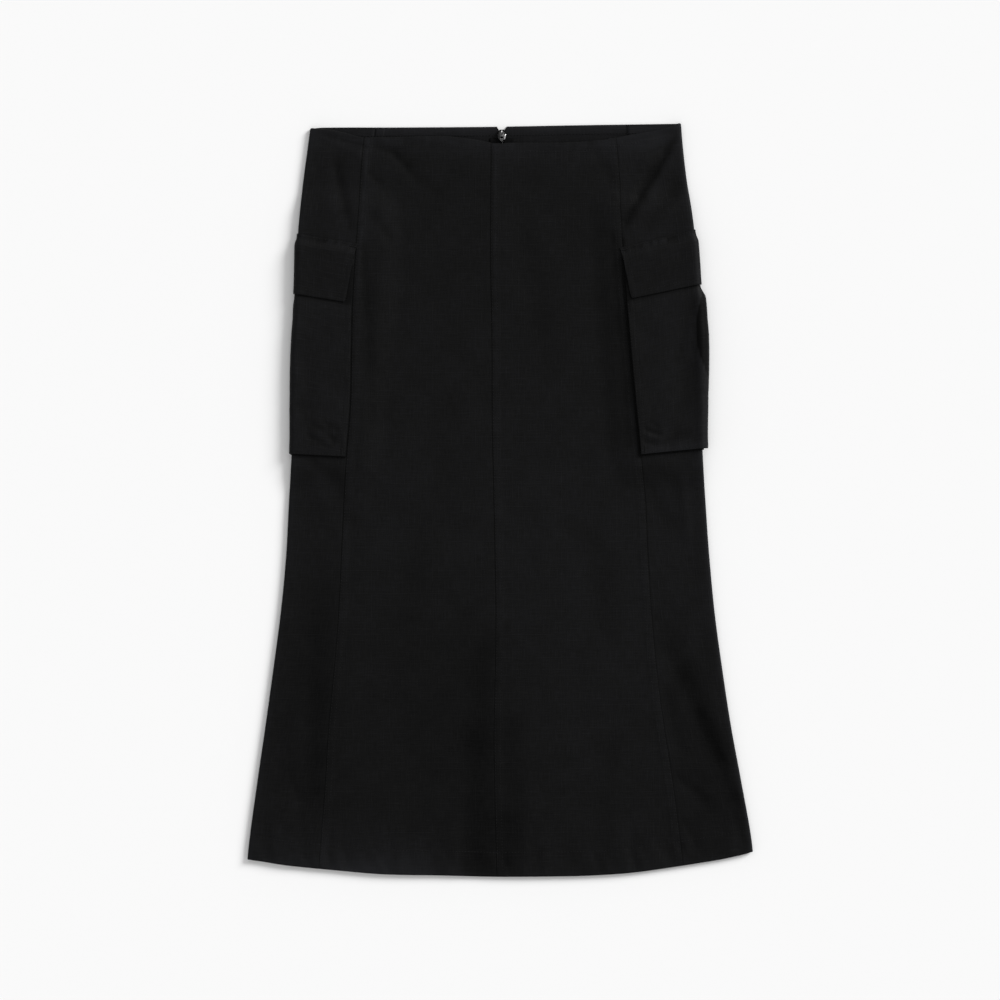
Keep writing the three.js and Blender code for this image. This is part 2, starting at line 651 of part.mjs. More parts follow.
piece('back_left', flatPanel(backSeam(SIDES.left), centreLeft, BACK_COLUMNS, false), RIPSTOP);
piece('back_right', flatPanel(centreRight, backSeam(SIDES.right), BACK_COLUMNS, false), RIPSTOP);
piece('front_left', flatPanel(seam('seamLeft', half), seam('centre', -half), FRONT_COLUMNS, true), RIPSTOP);
piece('front_right', flatPanel(seam('centre', half), seam('seamRight', -half), FRONT_COLUMNS, true), RIPSTOP);

for (const side of Object.values(SIDES)) {
  piece(`side_${side.name}`, sidePanel(side), RIPSTOP);
  piece(`pocket_${side.name}`, pocketFace(side), RIPSTOP);
  piece(`gusset_${side.name}`, pocketGusset(side), RIPSTOP);
  piece(`flap_${side.name}`, pocketFlap(side), RIPSTOP);
}

piece('zip_tape_left', zipTape(-1), TAPE_FINISH);
piece('zip_tape_right', zipTape(1), TAPE_FINISH);
piece('zip_coil', zipCoil(), TAPE_FINISH);
const sliderTop = SLIDER.base + SLIDER.height;
piece('zip_slider', zipSlider(), METAL, place(ZIP_X, TAB.hinge, SLIDER.base));
piece('pull_tab', pullTab(), METAL, place(ZIP_X, TAB.hinge, sliderTop + TAB_CLEAR));

export default skirt;
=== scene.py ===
# %% [markdown]
# # A black cargo skirt, laid flat
# The skirt lies on a white table with its front up. It is sewn from six flared panels of cotton ripstop,
# with a bellows pocket under a flap on each side and a concealed zip in the back.
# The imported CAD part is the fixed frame: every piece here stays where its solid is, and gets the fine
# form that a solid of few faces can't have, such as creases, seams, stitches and the weave.

import collections
import json
import math

import bmesh
import bpy
import numpy as np
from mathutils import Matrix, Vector

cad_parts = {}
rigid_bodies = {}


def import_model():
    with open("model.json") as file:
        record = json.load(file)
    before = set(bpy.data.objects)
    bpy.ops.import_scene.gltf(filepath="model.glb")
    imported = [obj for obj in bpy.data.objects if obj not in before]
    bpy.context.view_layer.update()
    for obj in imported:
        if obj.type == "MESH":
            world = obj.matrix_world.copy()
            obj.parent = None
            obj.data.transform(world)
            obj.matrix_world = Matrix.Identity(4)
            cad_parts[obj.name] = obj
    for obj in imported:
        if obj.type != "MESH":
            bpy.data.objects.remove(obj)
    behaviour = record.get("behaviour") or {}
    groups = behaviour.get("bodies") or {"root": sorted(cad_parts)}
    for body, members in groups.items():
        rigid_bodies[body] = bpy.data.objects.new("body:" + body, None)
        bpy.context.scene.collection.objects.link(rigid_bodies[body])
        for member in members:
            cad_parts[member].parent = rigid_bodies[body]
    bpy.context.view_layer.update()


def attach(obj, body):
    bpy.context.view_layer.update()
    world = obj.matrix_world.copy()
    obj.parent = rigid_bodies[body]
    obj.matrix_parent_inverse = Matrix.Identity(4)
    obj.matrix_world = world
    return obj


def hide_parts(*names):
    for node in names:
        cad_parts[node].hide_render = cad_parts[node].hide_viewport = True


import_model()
scene = bpy.context.scene
MM = 0.001

# %% [markdown]
# ## Camera
# The photograph looks straight down. Its picture is 1.06 m of table wide, so a long lens stands almost
# three metres above the cloth. A long lens also keeps the edges of the skirt free of perspective.

# %% Put the camera straight above
PICTURE_WIDTH = 1.0603
PICTURE_MIDDLE = (-0.00015, 0.0001)
CLOTH_LEVEL = 0.005
LENS = 100
SENSOR = 36

camera_data = bpy.data.cameras.new("camera_above")
camera_data.lens = LENS
camera_data.sensor_width = SENSOR
camera = bpy.data.objects.new("camera_above", camera_data)
camera.location = (*PICTURE_MIDDLE, CLOTH_LEVEL + PICTURE_WIDTH * LENS / SENSOR)
scene.collection.objects.link(camera)
scene.camera = camera
print("camera", round(camera.location.z, 3), "m above the table")

# %% [markdown]
# ## Light
# The photograph has a short soft shadow on the left and below, and none on the right and above. So its
# light is a soft box low at the upper right, 26 degrees above the table, with fill from all round.
# A sun lamp with a wide angle gives the same soft shadow all over the picture, without falling off.

# %% Light the table from the upper right
FILL_LIGHT = 0.6
KEY_LIGHT = 3.3
KEY_HEIGHT = math.radians(26)
KEY_TURN = math.radians(54)
KEY_SPREAD = math.radians(24)

world = bpy.data.worlds.new("studio")
world.use_nodes = True
background = next(node for node in world.node_tree.nodes if node.type == "BACKGROUND")
background.inputs["Color"].default_value = (1, 1, 1, 1)
background.inputs["Strength"].default_value = FILL_LIGHT
scene.world = world

key_data = bpy.data.lights.new("soft_box", "SUN")
key_data.energy = KEY_LIGHT
key_data.angle = KEY_SPREAD
key = bpy.data.objects.new("soft_box", key_data)
towards_key = Vector((
    math.sin(KEY_TURN) * math.cos(KEY_HEIGHT),
    math.cos(KEY_TURN) * math.cos(KEY_HEIGHT),
    math.sin(KEY_HEIGHT),
))
key.rotation_euler = towards_key.to_track_quat("Z", "Y").to_euler()
scene.collection.objects.link(key)
scene.view_settings.view_transform = "Standard"
print("key light comes from", [round(part, 2) for part in towards_key])

# %% [markdown]
# ## Nodes in a few words
# Each finish below is a small graph of shader nodes. One helper adds a node, sets its plain values and
# links the rest, and a few more stand on it, so that a finish reads from top to bottom.

# %% Helpers that add shader nodes
Finish = collections.namedtuple("Finish", "material tree surface")
FIRST_COLOUR, SECOND_COLOUR, BLENDED_COLOUR = 6, 7, 2


def new_finish(name):
    material = bpy.data.materials.new(name)
    material.use_nodes = True
    tree = material.node_tree
    surface = next(node for node in tree.nodes if node.type == "BSDF_PRINCIPLED")
    return Finish(material, tree, surface)


def set_inputs(tree, node, inputs):
    """Link each input to a socket of another node, or set it to a plain value."""
    for name, value in inputs.items():
        if isinstance(value, bpy.types.NodeSocket):
            tree.links.new(value, node.inputs[name])
        else:
            node.inputs[name].default_value = value


def add_node(tree, kind, inputs=None, **settings):
    node = tree.nodes.new("ShaderNode" + kind)
    for name, value in settings.items():
        setattr(node, name, value)
    set_inputs(tree, node, inputs or {})
    return node


def calculate(tree, operation, *values):
    return add_node(tree, "Math", dict(enumerate(values)), operation=operation).outputs[0]


def soft_step(tree, value, start, end, low=0.0, high=1.0):
    inputs = {"Value": value, "From Min": start, "From Max": end, "To Min": low, "To Max": high}
    return add_node(tree, "MapRange", inputs, interpolation_type="SMOOTHSTEP").outputs["Result"]


def noise(tree, where, scale, detail):
    return add_node(tree, "TexNoise", {"Vector": where, "Scale": scale, "Detail": detail}).outputs["Fac"]


def bumped(tree, height, strength, depth):
    inputs = {"Height": height, "Strength": strength, "Distance": depth * MM}
    return add_node(tree, "Bump", inputs).outputs["Normal"]


def blend(tree, share, first, second):
    """A colour between two; the Mix node's colour sockets have no names of their own, only numbers."""
    inputs = {"Factor": share, FIRST_COLOUR: (*first, 1), SECOND_COLOUR: (*second, 1)}
    return add_node(tree, "Mix", inputs, data_type="RGBA").outputs[BLENDED_COLOUR]


# %% [markdown]
# ## The table
# The table is plain white. It isn't part of the skirt.

# %% Lay the white table
TABLE_HALF = 6

table_mesh = bpy.data.meshes.new("table_top")
table_corners = [(-1, -1), (1, -1), (1, 1), (-1, 1)]
table_mesh.from_pydata([(TABLE_HALF * x, TABLE_HALF * y, 0) for x, y in table_corners], [], [(0, 1, 2, 3)])
table = bpy.data.objects.new("table_top", table_mesh)
scene.collection.objects.link(table)
table_finish = new_finish("white_table")
set_inputs(table_finish.tree, table_finish.surface, {
    "Base Color": (0.9, 0.9, 0.9, 1), "Roughness": 0.8, "Specular IOR Level": 0.1,
})
table_mesh.materials.append(table_finish.material)
print("table of", 2 * TABLE_HALF, "m")

# %% [markdown]
# ## The cut of the skirt
# Lengths are in millimetres. A place on the skirt is given as a pattern cutter would: x across it, and
# "down", the distance below its highest corner. The tables are the same as those of the CAD part.
# A smooth curve through the rows of a table gives every value between them.

# %% The skirt's sections, edges and levels
SKIRT_LENGTH = 800
CLOTH = 1.2
HALF_GAP = 0.15
FRONT_LEVEL = 5
FOLD_RADIUS = 2.8
FOLD_EASE = 18
LEAST_SPACE = 0.4
MIDDLE_X = 0.3
MIDDLE_DOWN = 400.2
QUARTER_TURN = FOLD_RADIUS * math.pi / 2

HEM_DEPTH = 26
HEM_CLOTH = 2
BACK_HEM_RISE = 3
BACK_HEM_EASE = 40
WAIST_TURN = 10
WAIST_CLOTH = 1.8
TURN_STEP = 1.6
ROW_LENGTH = 790
TURNED_FROM = ROW_LENGTH - HEM_DEPTH

# Columns: down, left fold, left seam, centre seam, right seam, right fold
SECTIONS = [
    (0, -200.4, -142.2, -9.3, 121.3, 192.1), (28, -204.1, -145.3, -9.4, 124.3, 194.5),
    (60, -208.4, -148, -9.6, 126.8, 198.2), (90, -211.6, -149.6, -9.8, 127.6, 203),
    (120, -214.1, -151.6, -10, 129.4, 206.8), (160, -214.8, -154.4, -9.8, 131.9, 209.6),
    (200, -216.3, -156.4, -9, 135.1, 211.9), (250, -219, -157.3, -8.4, 139.5, 213.4),
    (300, -220.1, -158.4, -8.3, 144.2, 214.4), (345, -220.5, -161.8, -7.6, 148.6, 214.8),
    (400, -223.7, -165.3, -6.4, 154.2, 218.1), (460, -226.9, -168, -5.2, 156.9, 222.3),
    (520, -232.6, -171, -4.2, 160.8, 228), (580, -240.5, -175.8, -4.8, 166.2, 236.1),
    (640, -248.8, -181.5, -6.2, 173.9, 245.3), (700, -257.5, -185.1, -5.6, 183.3, 256.4),
    (760, -265.7, -189.7, -4.2, 191.1, 267), (800, -269.5, -192.6, -3.1, 195.5, 270.5),
]
LEFT_SEAM, CENTRE_SEAM, RIGHT_SEAM = 2, 3, 4

# Columns: x, down
FRONT_WAIST = [
    (-200, 5.8), (-180, 7.4), (-164, 10.6), (-151, 14.4), (-143, 15.4), (-106, 14.8),
    (-57, 14.3), (-31, 17), (-12, 20.4), (-4, 22.2), (9, 21.2), (64, 20.7),
    (106, 18.6), (124, 15.4), (142, 12.2), (170, 7.4), (192, 0.6),
]
BACK_WAIST = [(-200, 5.8), (-188, 4.8), (-106, 4.6), (-10, 3.9), (79, 2.3), (155, 1.2), (192, 0.6)]
HEM = [
    (-267, 781.6), (-252, 783.6), (-226, 787.7), (-175, 792.8), (-125, 797), (-60, 798.4), (-8, 799.7),
    (60, 799.4), (100, 798.3), (142, 795.3), (181, 789.9), (232, 781.8), (257, 776.4), (267, 773.6),
]

Side = collections.namedtuple("Side", "name fold seam inward")
LEFT = Side("left", 1, LEFT_SEAM, 1)
RIGHT = Side("right", 5, RIGHT_SEAM, -1)
OTHER = {"left": RIGHT, "right": LEFT}


def along(table_rows, at, column=1):
    rows = np.asarray(table_rows, float)
    inputs, values = rows[:, 0], rows[:, column]
    slopes = np.empty_like(values)
    slopes[1:-1] = (values[2:] - values[:-2]) / (inputs[2:] - inputs[:-2])
    slopes[0] = (values[1] - values[0]) / (inputs[1] - inputs[0])
    slopes[-1] = (values[-1] - values[-2]) / (inputs[-1] - inputs[-2])
    index = np.clip(np.searchsorted(inputs, at) - 1, 0, len(inputs) - 2)
    span = inputs[index + 1] - inputs[index]
    part = np.clip((at - inputs[index]) / span, 0, 1)
    squared, cubed = part**2, part**3
    return (
        values[index] * (2 * cubed - 3 * squared + 1)
        + values[index + 1] * (3 * squared - 2 * cubed)
        + slopes[index] * span * (cubed - 2 * squared + part)
        + slopes[index + 1] * span * (cubed - squared)
    )


def ease(part):
    held = np.clip(part, 0, 1)
    return held * held * (3 - 2 * held)


def mix(low, high, part):
    return low + (high - low) * part


def bell(part):
    """1 at zero, and down to almost nothing by 2 on either side."""
    return np.exp(-(part**2))


print("left fold at the hem:", round(float(along(SECTIONS, SKIRT_LENGTH, LEFT.fold)), 1), "mm")

# %% Widths, edges and the rise over the pockets
POCKET_CLOTH = 1
POCKET_LIFT = 3.2
LIFT_FROM = 95
LIFT_TO = 362
LIFT_MARGIN = 6
LIFT_EASE = 30


def fold_x(side, down):
    return along(SECTIONS, down, side.fold)


def front_width(side, down):
    return side.inward * (along(SECTIONS, down, side.seam) - fold_x(side, down))


def back_width(side, down):
    """The back isn't seen, so its seams are guessed as those of the front, seen from behind."""
    return front_width(OTHER[side.name], down)


def from_fold(side, x, down):
    return side.inward * (x - fold_x(side, down))


def front_waist(x):
    return along(FRONT_WAIST, x)


def back_waist(x):
    return along(BACK_WAIST, x)


def front_hem(x):
    return along(HEM, x)


def back_hem(x):
    inside = np.minimum(x - HEM[0][0], HEM[-1][0] - x)
    return front_hem(x) - BACK_HEM_RISE * ease(inside / BACK_HEM_EASE)


def lift(x, down):
    height = 0
    for side in (LEFT, RIGHT):
        reach = np.maximum(front_width(side, down), back_width(side, down)) + LIFT_MARGIN
        across = np.maximum(0, from_fold(side, x, down) - reach)
        beyond = np.maximum(0, np.maximum(LIFT_FROM - down, down - LIFT_TO))
        height = np.maximum(height, POCKET_LIFT * (1 - ease(np.hypot(across, beyond) / LIFT_EASE)))
    return height


def place(x, down, z):
    x, down, z = np.broadcast_arrays(x, down, z)
    return np.stack([x - MIDDLE_X, MIDDLE_DOWN - down, z], -1)


print("the front waist dips", round(float(front_waist(0) - back_waist(0)), 1), "mm below the back")

# %% [markdown]
# ## Folds and creases
# A skirt that was lifted onto a table keeps soft folds where the cloth was dragged. Each one here is a
# line from one point to another with a width and a height, placed where the photograph shows it;
# a negative height is a trough. The first table holds the broad folds of the CAD part. The second holds
# narrower creases, which a solid of few faces can't show. Slow seeded noise keeps the flat parts from
# being dead flat, as handled cloth never is.

# %% The folds of the CAD part
# Columns: x, down, x, down, width, height
FOLDS = [
    (183, 15, 160, 55, 14, -1.2), (160, 55, 131, 108, 14, -1.2),
    (-129, 28, -108, 33, 9, -0.9), (-108, 33, -74, 71, 10, -0.8),
    (-173, 41, -163, 95, 10, -1), (-131, 130, -128, 310, 12, -1),
    (110, 120, 118, 340, 12, -1), (197, 385, 199, 432, 9, 0.9),
    (165, 527, 202, 591, 15, -1.3), (202, 591, 225, 654, 15, -1.3), (225, 654, 254, 734, 14, -1.2),
    (179, 612, 221, 731, 11, -0.7), (222, 600, 246, 700, 12, 1),
    (-190, 505, -194, 718, 20, -1.2), (-22, 548, -30, 790, 26, -1.2),
    (-236, 735, -230, 790, 22, 1.2), (-122, 720, -118, 800, 42, 1),
    (2, 20, 2, 176, 16, 1.1),
]
CREASE_KEPT_ON_LIFT = 0.2
FOLDS_KEPT = 0.5


def ridges(ridge_rows, x, down):
    total = np.zeros(np.broadcast(x, down).shape)
    for x0, down0, x1, down1, width, height in ridge_rows:
        run_x, run_down = x1 - x0, down1 - down0
        part = ((x - x0) * run_x + (down - down0) * run_down) / (run_x**2 + run_down**2)
        part = np.clip(part, 0, 1)
        away = np.hypot(x - x0 - part * run_x, down - down0 - part * run_down) / width
        total += height * bell(away)
    return total


print(len(FOLDS), "broad folds")

# %% Finer creases, placed one by one
# Columns: x, down, x, down, width, height
CREASES = [
    # drag lines from the upper right corner to the right flap
    (192, 6, 176, 32, 3.4, -0.9), (176, 32, 163, 54, 3.6, -1.6), (163, 54, 148, 78, 3.8, -1.5),
    (148, 78, 133, 106, 4.2, -1.1), (190, 66, 157, 107, 8, -0.7), (182, 40, 158, 76, 5, 0.6),
    (196, 20, 180, 44, 5, 0.4), (158, 40, 138, 76, 6, 0.35),
    (192, 4, 118, 13, 2.2, 0.35), (190, 8, 132, 21, 2.2, -0.4), (188, 13, 142, 30, 2.6, 0.3),
    (186, 19, 154, 34, 2.4, -0.3), (-196, 8, -122, 17, 2.2, 0.35), (-190, 12, -142, 26, 2.4, -0.4),
    (-188, 17, -150, 34, 2.6, 0.3),
    # top left
    (-129, 26, -112, 33, 4, -0.6), (-112, 33, -98, 48, 4.5, -0.7), (-98, 48, -88, 61, 5.5, -0.4),
    (-139, 54, -128, 63, 3.5, -0.5), (-135, 97, -118, 122, 5, -0.5), (-173, 48, -159, 111, 5, -0.7),
    (-186, 30, -180, 90, 8, 0.4), (-150, 30, -138, 70, 5, 0.4),
    # beside the pockets
    (-146, 130, -141, 205, 5, -0.5), (-139, 215, -137, 318, 6, -0.4),
    (119, 120, 126, 220, 5, -0.7), (129, 230, 136, 340, 6, -0.6),
    # below the pockets
    (-196, 362, -170, 380, 6, -0.5), (-205, 368, -186, 402, 7, 0.4), (-176, 372, -160, 420, 8, -0.4),
    (160, 366, 184, 380, 6, -0.5), (150, 372, 176, 420, 8, -0.5), (193, 380, 200, 440, 5, 0.6),
    # the right flare
    (176, 560, 190, 592, 8, -0.4), (190, 592, 213, 630, 9, -0.5), (213, 630, 236, 674, 9, -0.5),
    (236, 674, 253, 716, 8, -0.45), (253, 716, 261, 752, 6, -0.3),
    (192, 696, 216, 718, 5, -0.6), (176, 600, 190, 660, 7, -0.4), (204, 562, 236, 634, 9, 0.5),
    (232, 640, 254, 704, 8, 0.3), (196, 742, 206, 766, 5, -0.4),
    # the left side
    (-196, 520, -192, 610, 12, -0.3), (-192, 610, -198, 712, 12, -0.35), (-214, 640, -220, 742, 9, 0.4),
    (-222, 690, -204, 764, 6, -0.5), (-206, 742, -196, 786, 5, 0.5), (-238, 752, -214, 726, 6, 0.5),
    # the middle and the hem
    (-18, 560, -26, 660, 12, -0.3), (-26, 660, -24, 790, 14, -0.5), (-44, 700, -50, 792, 9, 0.4),
    (14, 640, 20, 760, 10, -0.4), (70, 700, 78, 760, 9, 0.3), (118, 660, 108, 742, 10, -0.4),
    (30, 120, 44, 220, 14, -0.3), (-60, 300, -52, 420, 16, -0.3), (50, 380, 40, 520, 16, 0.3),
    (-90, 460, -100, 560, 15, -0.3), (100, 430, 112, 540, 14, -0.3), (-100, 20, -60, 26, 5, -0.3),
    (20, 26, 90, 30, 6, -0.3), (96, 22, 118, 60, 6, -0.4),
]


def wobble(at, spacing, seed):
    """Smooth seeded ups and downs from -1 to 1 along one direction."""
    position = np.asarray(at, float) / spacing
    index = np.floor(position).astype(int)
    part = ease(position - index)
    values = np.random.default_rng(seed).uniform(-1, 1, 2048)
    return mix(values[index % 2048], values[(index + 1) % 2048], part)


def rumple(x, down, size, seed):
    """Smooth seeded hills and hollows, about one size across."""
    column, row = np.asarray(x, float) / size, np.asarray(down, float) / size
    left, top = np.floor(column).astype(int), np.floor(row).astype(int)
    across, below = ease(column - left), ease(row - top)
    heights = np.random.default_rng(seed).uniform(-1, 1, (256, 256))

    def corner(right, low):
        return heights[(left + right) % 256, (top + low) % 256]

    return mix(mix(corner(0, 0), corner(1, 0), across), mix(corner(0, 1), corner(1, 1), across), below)


# Columns: height, slant, size across, seed
HANDLING = [(0.22, 0.25, 46, 3), (0.12, -0.3, 21, 4), (0.035, 0, 8.5, 5)]


def handling(x, down):
    return sum(
        height * rumple(x + slant * down, down, size, seed) for height, slant, size, seed in HANDLING
    )


def soft_floor(height, lowest, softness=0.25):
    return lowest + softness * np.logaddexp(0, (height - lowest) / softness)


def front_top(x, down, cloth=CLOTH):
    raised = lift(x, down)
    inside = np.minimum(from_fold(LEFT, x, down), from_fold(RIGHT, x, down))
    by_fold = 1 - ease((inside - FOLD_RADIUS) / FOLD_EASE)
    kept = 1 - (1 - CREASE_KEPT_ON_LIFT) * raised / POCKET_LIFT
    level = mix(FRONT_LEVEL, 2 * FOLD_RADIUS, by_fold)
    creased = FOLDS_KEPT * ridges(FOLDS, x, down) * kept + ridges(CREASES, x, down) + handling(x, down)
    return raised + soft_floor(level + creased * (1 - by_fold), 2 * cloth + LEAST_SPACE)


print(len(CREASES), "creases")

# %% [markdown]
# ## Seams, hem and waist
# Each long seam is pressed to one side and sewn down with two rows. The three layers under the rows
# stand a little proud, the rows pull the cloth down, and the cloth between the stitches puckers. The hem
# and the waist are turned in and sewn with one row. All of it is relief on the outside of the cloth.

# %% Relief from sewing
SEAM_ROWS = (1.2, 6.5)
BAND_WIDTH = 7.4
BAND_RISE = 0.2
BAND_EDGE = 1.6
SEAM_GROOVE = 0.15
GROOVE_WIDTH = 0.8
STITCH_SINK = 0.09
SINK_WIDTH = 0.8
PUCKER = 0.13
PUCKER_MIDDLE = 4
PUCKER_REACH = 5.5
HEM_ROW = 26
HEM_RIPPLE = 0.5
HEM_PLEAT = 0.85
PLEAT_SPACING = 9.5
PLEATS_FADE_FROM = 22
PLEATS_FADE = 46
WAIST_ROW = 9.5
WAIST_STEP = 0.25
WAIST_RIPPLE = 0.13
EDGE_CLEAR = 1.2


def sunk_row(away):
    return -STITCH_SINK * bell(away / SINK_WIDTH)


def sewn_edge(across, length, seed, rows=SEAM_ROWS):
    """Relief beside a seam that is pressed and sewn down on the side where across is above zero."""
    band = BAND_RISE * (1 - ease((across - BAND_WIDTH) / BAND_EDGE)) * (across > 0)
    groove = -SEAM_GROOVE * bell(across / GROOVE_WIDTH)
    pulled = sum(sunk_row(across - row) for row in rows) * (across > 0)
    ripple = wobble(length + 0.4 * across, 4.1, seed) + 0.7 * wobble(length - 0.3 * across, 9.3, seed + 1)
    spread = bell((across - PUCKER_MIDDLE) / PUCKER_REACH)
    return band + groove + pulled + PUCKER * ripple * spread


def hem_relief(above, x, seed):
    """Relief by a turned hem, at a distance above its edge."""
    roping = wobble(x + 0.5 * above, 6.5, seed) + 0.6 * wobble(x - 0.2 * above, 15, seed + 1)
    within = ease(above / 3) * (1 - ease((above - HEM_ROW + 4) / 16))
    pleats = wobble(x + 0.08 * above, PLEAT_SPACING, seed + 3) * ease(above / 3)
    pleats = pleats * (1 - ease((above - PLEATS_FADE_FROM) / PLEATS_FADE))
    stronger = 0.65 + 0.35 * wobble(x, 42, seed + 2)
    return 0.5 * sunk_row(above - HEM_ROW) + (HEM_RIPPLE * roping * within + HEM_PLEAT * pleats) * stronger


def waist_relief(below, x, seed):
    """Relief by the turned waist, at a distance below its edge."""
    ripple = wobble(x + 0.3 * below, 5.5, seed) + 0.7 * wobble(x, 13, seed + 1)
    within = ease(below / 2.5) * (1 - ease((below - WAIST_ROW - 2) / 10))
    step = WAIST_STEP * (1 - ease((below - WAIST_ROW - 0.5) / 2))
    return step + sunk_row(below - WAIST_ROW) + WAIST_RIPPLE * ripple * within


def front_sewing(x, down):
    relief = sewn_edge(x - along(SECTIONS, down, CENTRE_SEAM), down, 11)
    relief = relief + sewn_edge(x - along(SECTIONS, down, LEFT_SEAM), down, 21)
    relief = relief + sewn_edge(along(SECTIONS, down, RIGHT_SEAM) - x, down, 31)
    relief = relief + hem_relief(front_hem(x) - down, x, 41)
    return relief + waist_relief(down - front_waist(x), x, 51)


def off_edges(at):
    """No relief right on the edges of the waist and the hem, so that they stay round."""
    return ease(at / EDGE_CLEAR) * ease((ROW_LENGTH - at) / EDGE_CLEAR)


def row_of(x, down, waist, hem):
    """The row of a panel that a place lies on: its distance below the waist edge, of ROW_LENGTH in all."""
    return (down - waist(x)) / (hem(x) - waist(x)) * ROW_LENGTH


def turned_cloth(at):
    """Thickness of the cloth at a distance below the waist: double where it is turned in."""
    waist = mix(WAIST_CLOTH, CLOTH, np.clip((at - WAIST_TURN) / TURN_STEP, 0, 1))
    hem = mix(CLOTH, HEM_CLOTH, np.clip((at - TURNED_FROM + TURN_STEP) / TURN_STEP, 0, 1))
    return np.where(at < ROW_LENGTH / 2, waist, hem)


def round_edge(at, length=ROW_LENGTH, radius=1.0, share=0.36):
    """How much of its thickness a folded edge loses on each face, so that it is round."""
    away = np.clip(np.minimum(at, length - at) / radius, 0, 1)
    return share * (1 - np.sqrt(1 - (1 - away) ** 2))


print("seams are sewn at", SEAM_ROWS, "mm, the hem at", HEM_ROW, "mm")

# %% [markdown]
# ## From two grids of points to one sheet of cloth
# A sheet of cloth is a closed wall: a grid of points outside, the same grid inside, and a rim that joins
# them. Its flat pattern, in metres, goes into the UV map, so the weave runs over it as on real cloth, and
# a "tone" value by each point says where the black is paler or deeper: paler on worn edges, with painted
# light and shade on top, such as painted shade down in creases and seams.

# %% Build a closed sheet


def cloth_mesh(name, outer, inner, pattern, tone):
    columns, rows = outer.shape[:2]
    count = columns * rows
    points = np.concatenate([outer.reshape(-1, 3), inner.reshape(-1, 3)]) * MM
    index = np.arange(count).reshape(columns, rows)
    top = np.stack([index[:-1, :-1], index[1:, :-1], index[1:, 1:], index[:-1, 1:]], -1).reshape(-1, 4)
    rim = np.concatenate([index[:, 0], index[-1, 1:], index[-2::-1, -1], index[0, -2:0:-1]])
    after = np.roll(rim, -1)
    edge = np.stack([after, rim, rim + count, after + count], -1)
    faces = np.concatenate([top, top[:, ::-1] + count, edge])
    a, b, c, d = (points[faces[:, corner]] for corner in range(4))
    volume = (a * np.cross(b, c)).sum() + (a * np.cross(c, d)).sum()
    if volume < 0:
        faces = faces[:, ::-1]
    flat = np.broadcast_to(pattern, outer.shape[:2] + (2,)).reshape(-1, 2) * MM
    toned = np.broadcast_to(tone, outer.shape[:2]).reshape(-1)
    return faces_to_object(name, points, faces, np.tile(flat, (2, 1)), np.tile(toned, 2))


def faces_to_object(name, points, faces, flat, tone):
    corners = faces.shape[1]
    mesh = bpy.data.meshes.new(name)
    mesh.vertices.add(len(points))
    mesh.vertices.foreach_set("co", points.astype(np.float32).ravel())
    mesh.loops.add(faces.size)
    mesh.loops.foreach_set("vertex_index", faces.astype(np.int32).ravel())
    mesh.polygons.add(len(faces))
    mesh.polygons.foreach_set("loop_start", np.arange(0, faces.size, corners, dtype=np.int32))
    mesh.polygons.foreach_set("use_smooth", np.ones(len(faces), bool))
    mesh.update(calc_edges=True)
    uv = mesh.uv_layers.new(name="pattern")
    uv.data.foreach_set("uv", flat[faces.ravel()].astype(np.float32).ravel())
    tones = mesh.attributes.new("tone", "FLOAT", "POINT")
    tones.data.foreach_set("value", np.asarray(tone, np.float32))
    thing = bpy.data.objects.new(name, mesh)
    scene.collection.objects.link(thing)
    return thing


# %% Where the columns and rows of a sheet run
BESIDE_SEAM = np.array([0, 0.3, 0.7, 1.2, 1.8, 2.8, 4, 5.2, 5.9, 6.5, 7.1, 7.9, 9])


def spaced(start, end, step):
    return np.linspace(start, end, max(2, int(round((end - start) / step)) + 1))


def row_steps(step):
    """Distances below the waist edge, close together by the edges and rows of stitches."""
    waist = [0, 0.2, 0.5, 1, 2, 3.6, 5.4, 7.2, 8.7, 9.5, 10.3, 11.6, 13.4]
    hem = [0, 0.2, 0.5, 1, 2, 3.6, 5.4, 7.4, 9.5, 12, 14.5, 17, 19.5, 22, 24, 25.2, 26, 26.8, 28, 30]
    middle = spaced(waist[-1], ROW_LENGTH - hem[-1], step)
    return np.concatenate([waist[:-1], middle, ROW_LENGTH - np.array(hem[-2::-1])])


def between_seams(step, width):
    """Columns between two seams, as distance from the first, distance from the second, and share."""
    share = spaced(0, 1, step / (width - 2 * BESIDE_SEAM[-1]))[1:-1]
    near = np.concatenate([BESIDE_SEAM, np.full(len(share), BESIDE_SEAM[-1]), BESIDE_SEAM[::-1]])
    part = np.concatenate([np.zeros(len(BESIDE_SEAM)), share, np.ones(len(BESIDE_SEAM))])
    return near[:, None], part[:, None]


FINE_ROWS = row_steps(2.5)
COARSE_ROWS = row_steps(9)
print(len(FINE_ROWS), "rows on the front,", len(COARSE_ROWS), "on the back")

# %% [markdown]
# ## Cotton ripstop
# Ripstop is a plain weave with a heavier thread every six millimetres each way, which makes fine squares.
# A photograph would be the quick way to get it, but a pattern of nodes stays sharp at any distance: two
# sets of raised lines from the flat pattern, a finer plain weave between them, a little uneven dye, and
# the tone of each point, which makes bands by the seams paler where the cloth has worn and carries painted
# light and shade.

# %% Make the ripstop
LINE_SPACING_ALONG = 6.17 * MM
LINE_SPACING_ACROSS = 6.5 * MM
LINE_HALF = 0.09
THREAD_SPACING = 0.46 * MM
BLACK_STOPS = [
    (0, (0.0002, 0.0002, 0.0002)), (0.4, (0.0038, 0.0038, 0.0039)), (1, (0.0105, 0.0107, 0.0122)),
]
TONE_SCALE = 0.4
SLUB_LENGTHWISE = 900.0
SLUB_CROSSWISE = 70.0


def raised_lines(tree, position, spacing):
    away = calculate(tree, "PINGPONG", calculate(tree, "DIVIDE", position, spacing), 0.5)
    return soft_step(tree, away, 0.0, LINE_HALF, 1.0, 0.0)


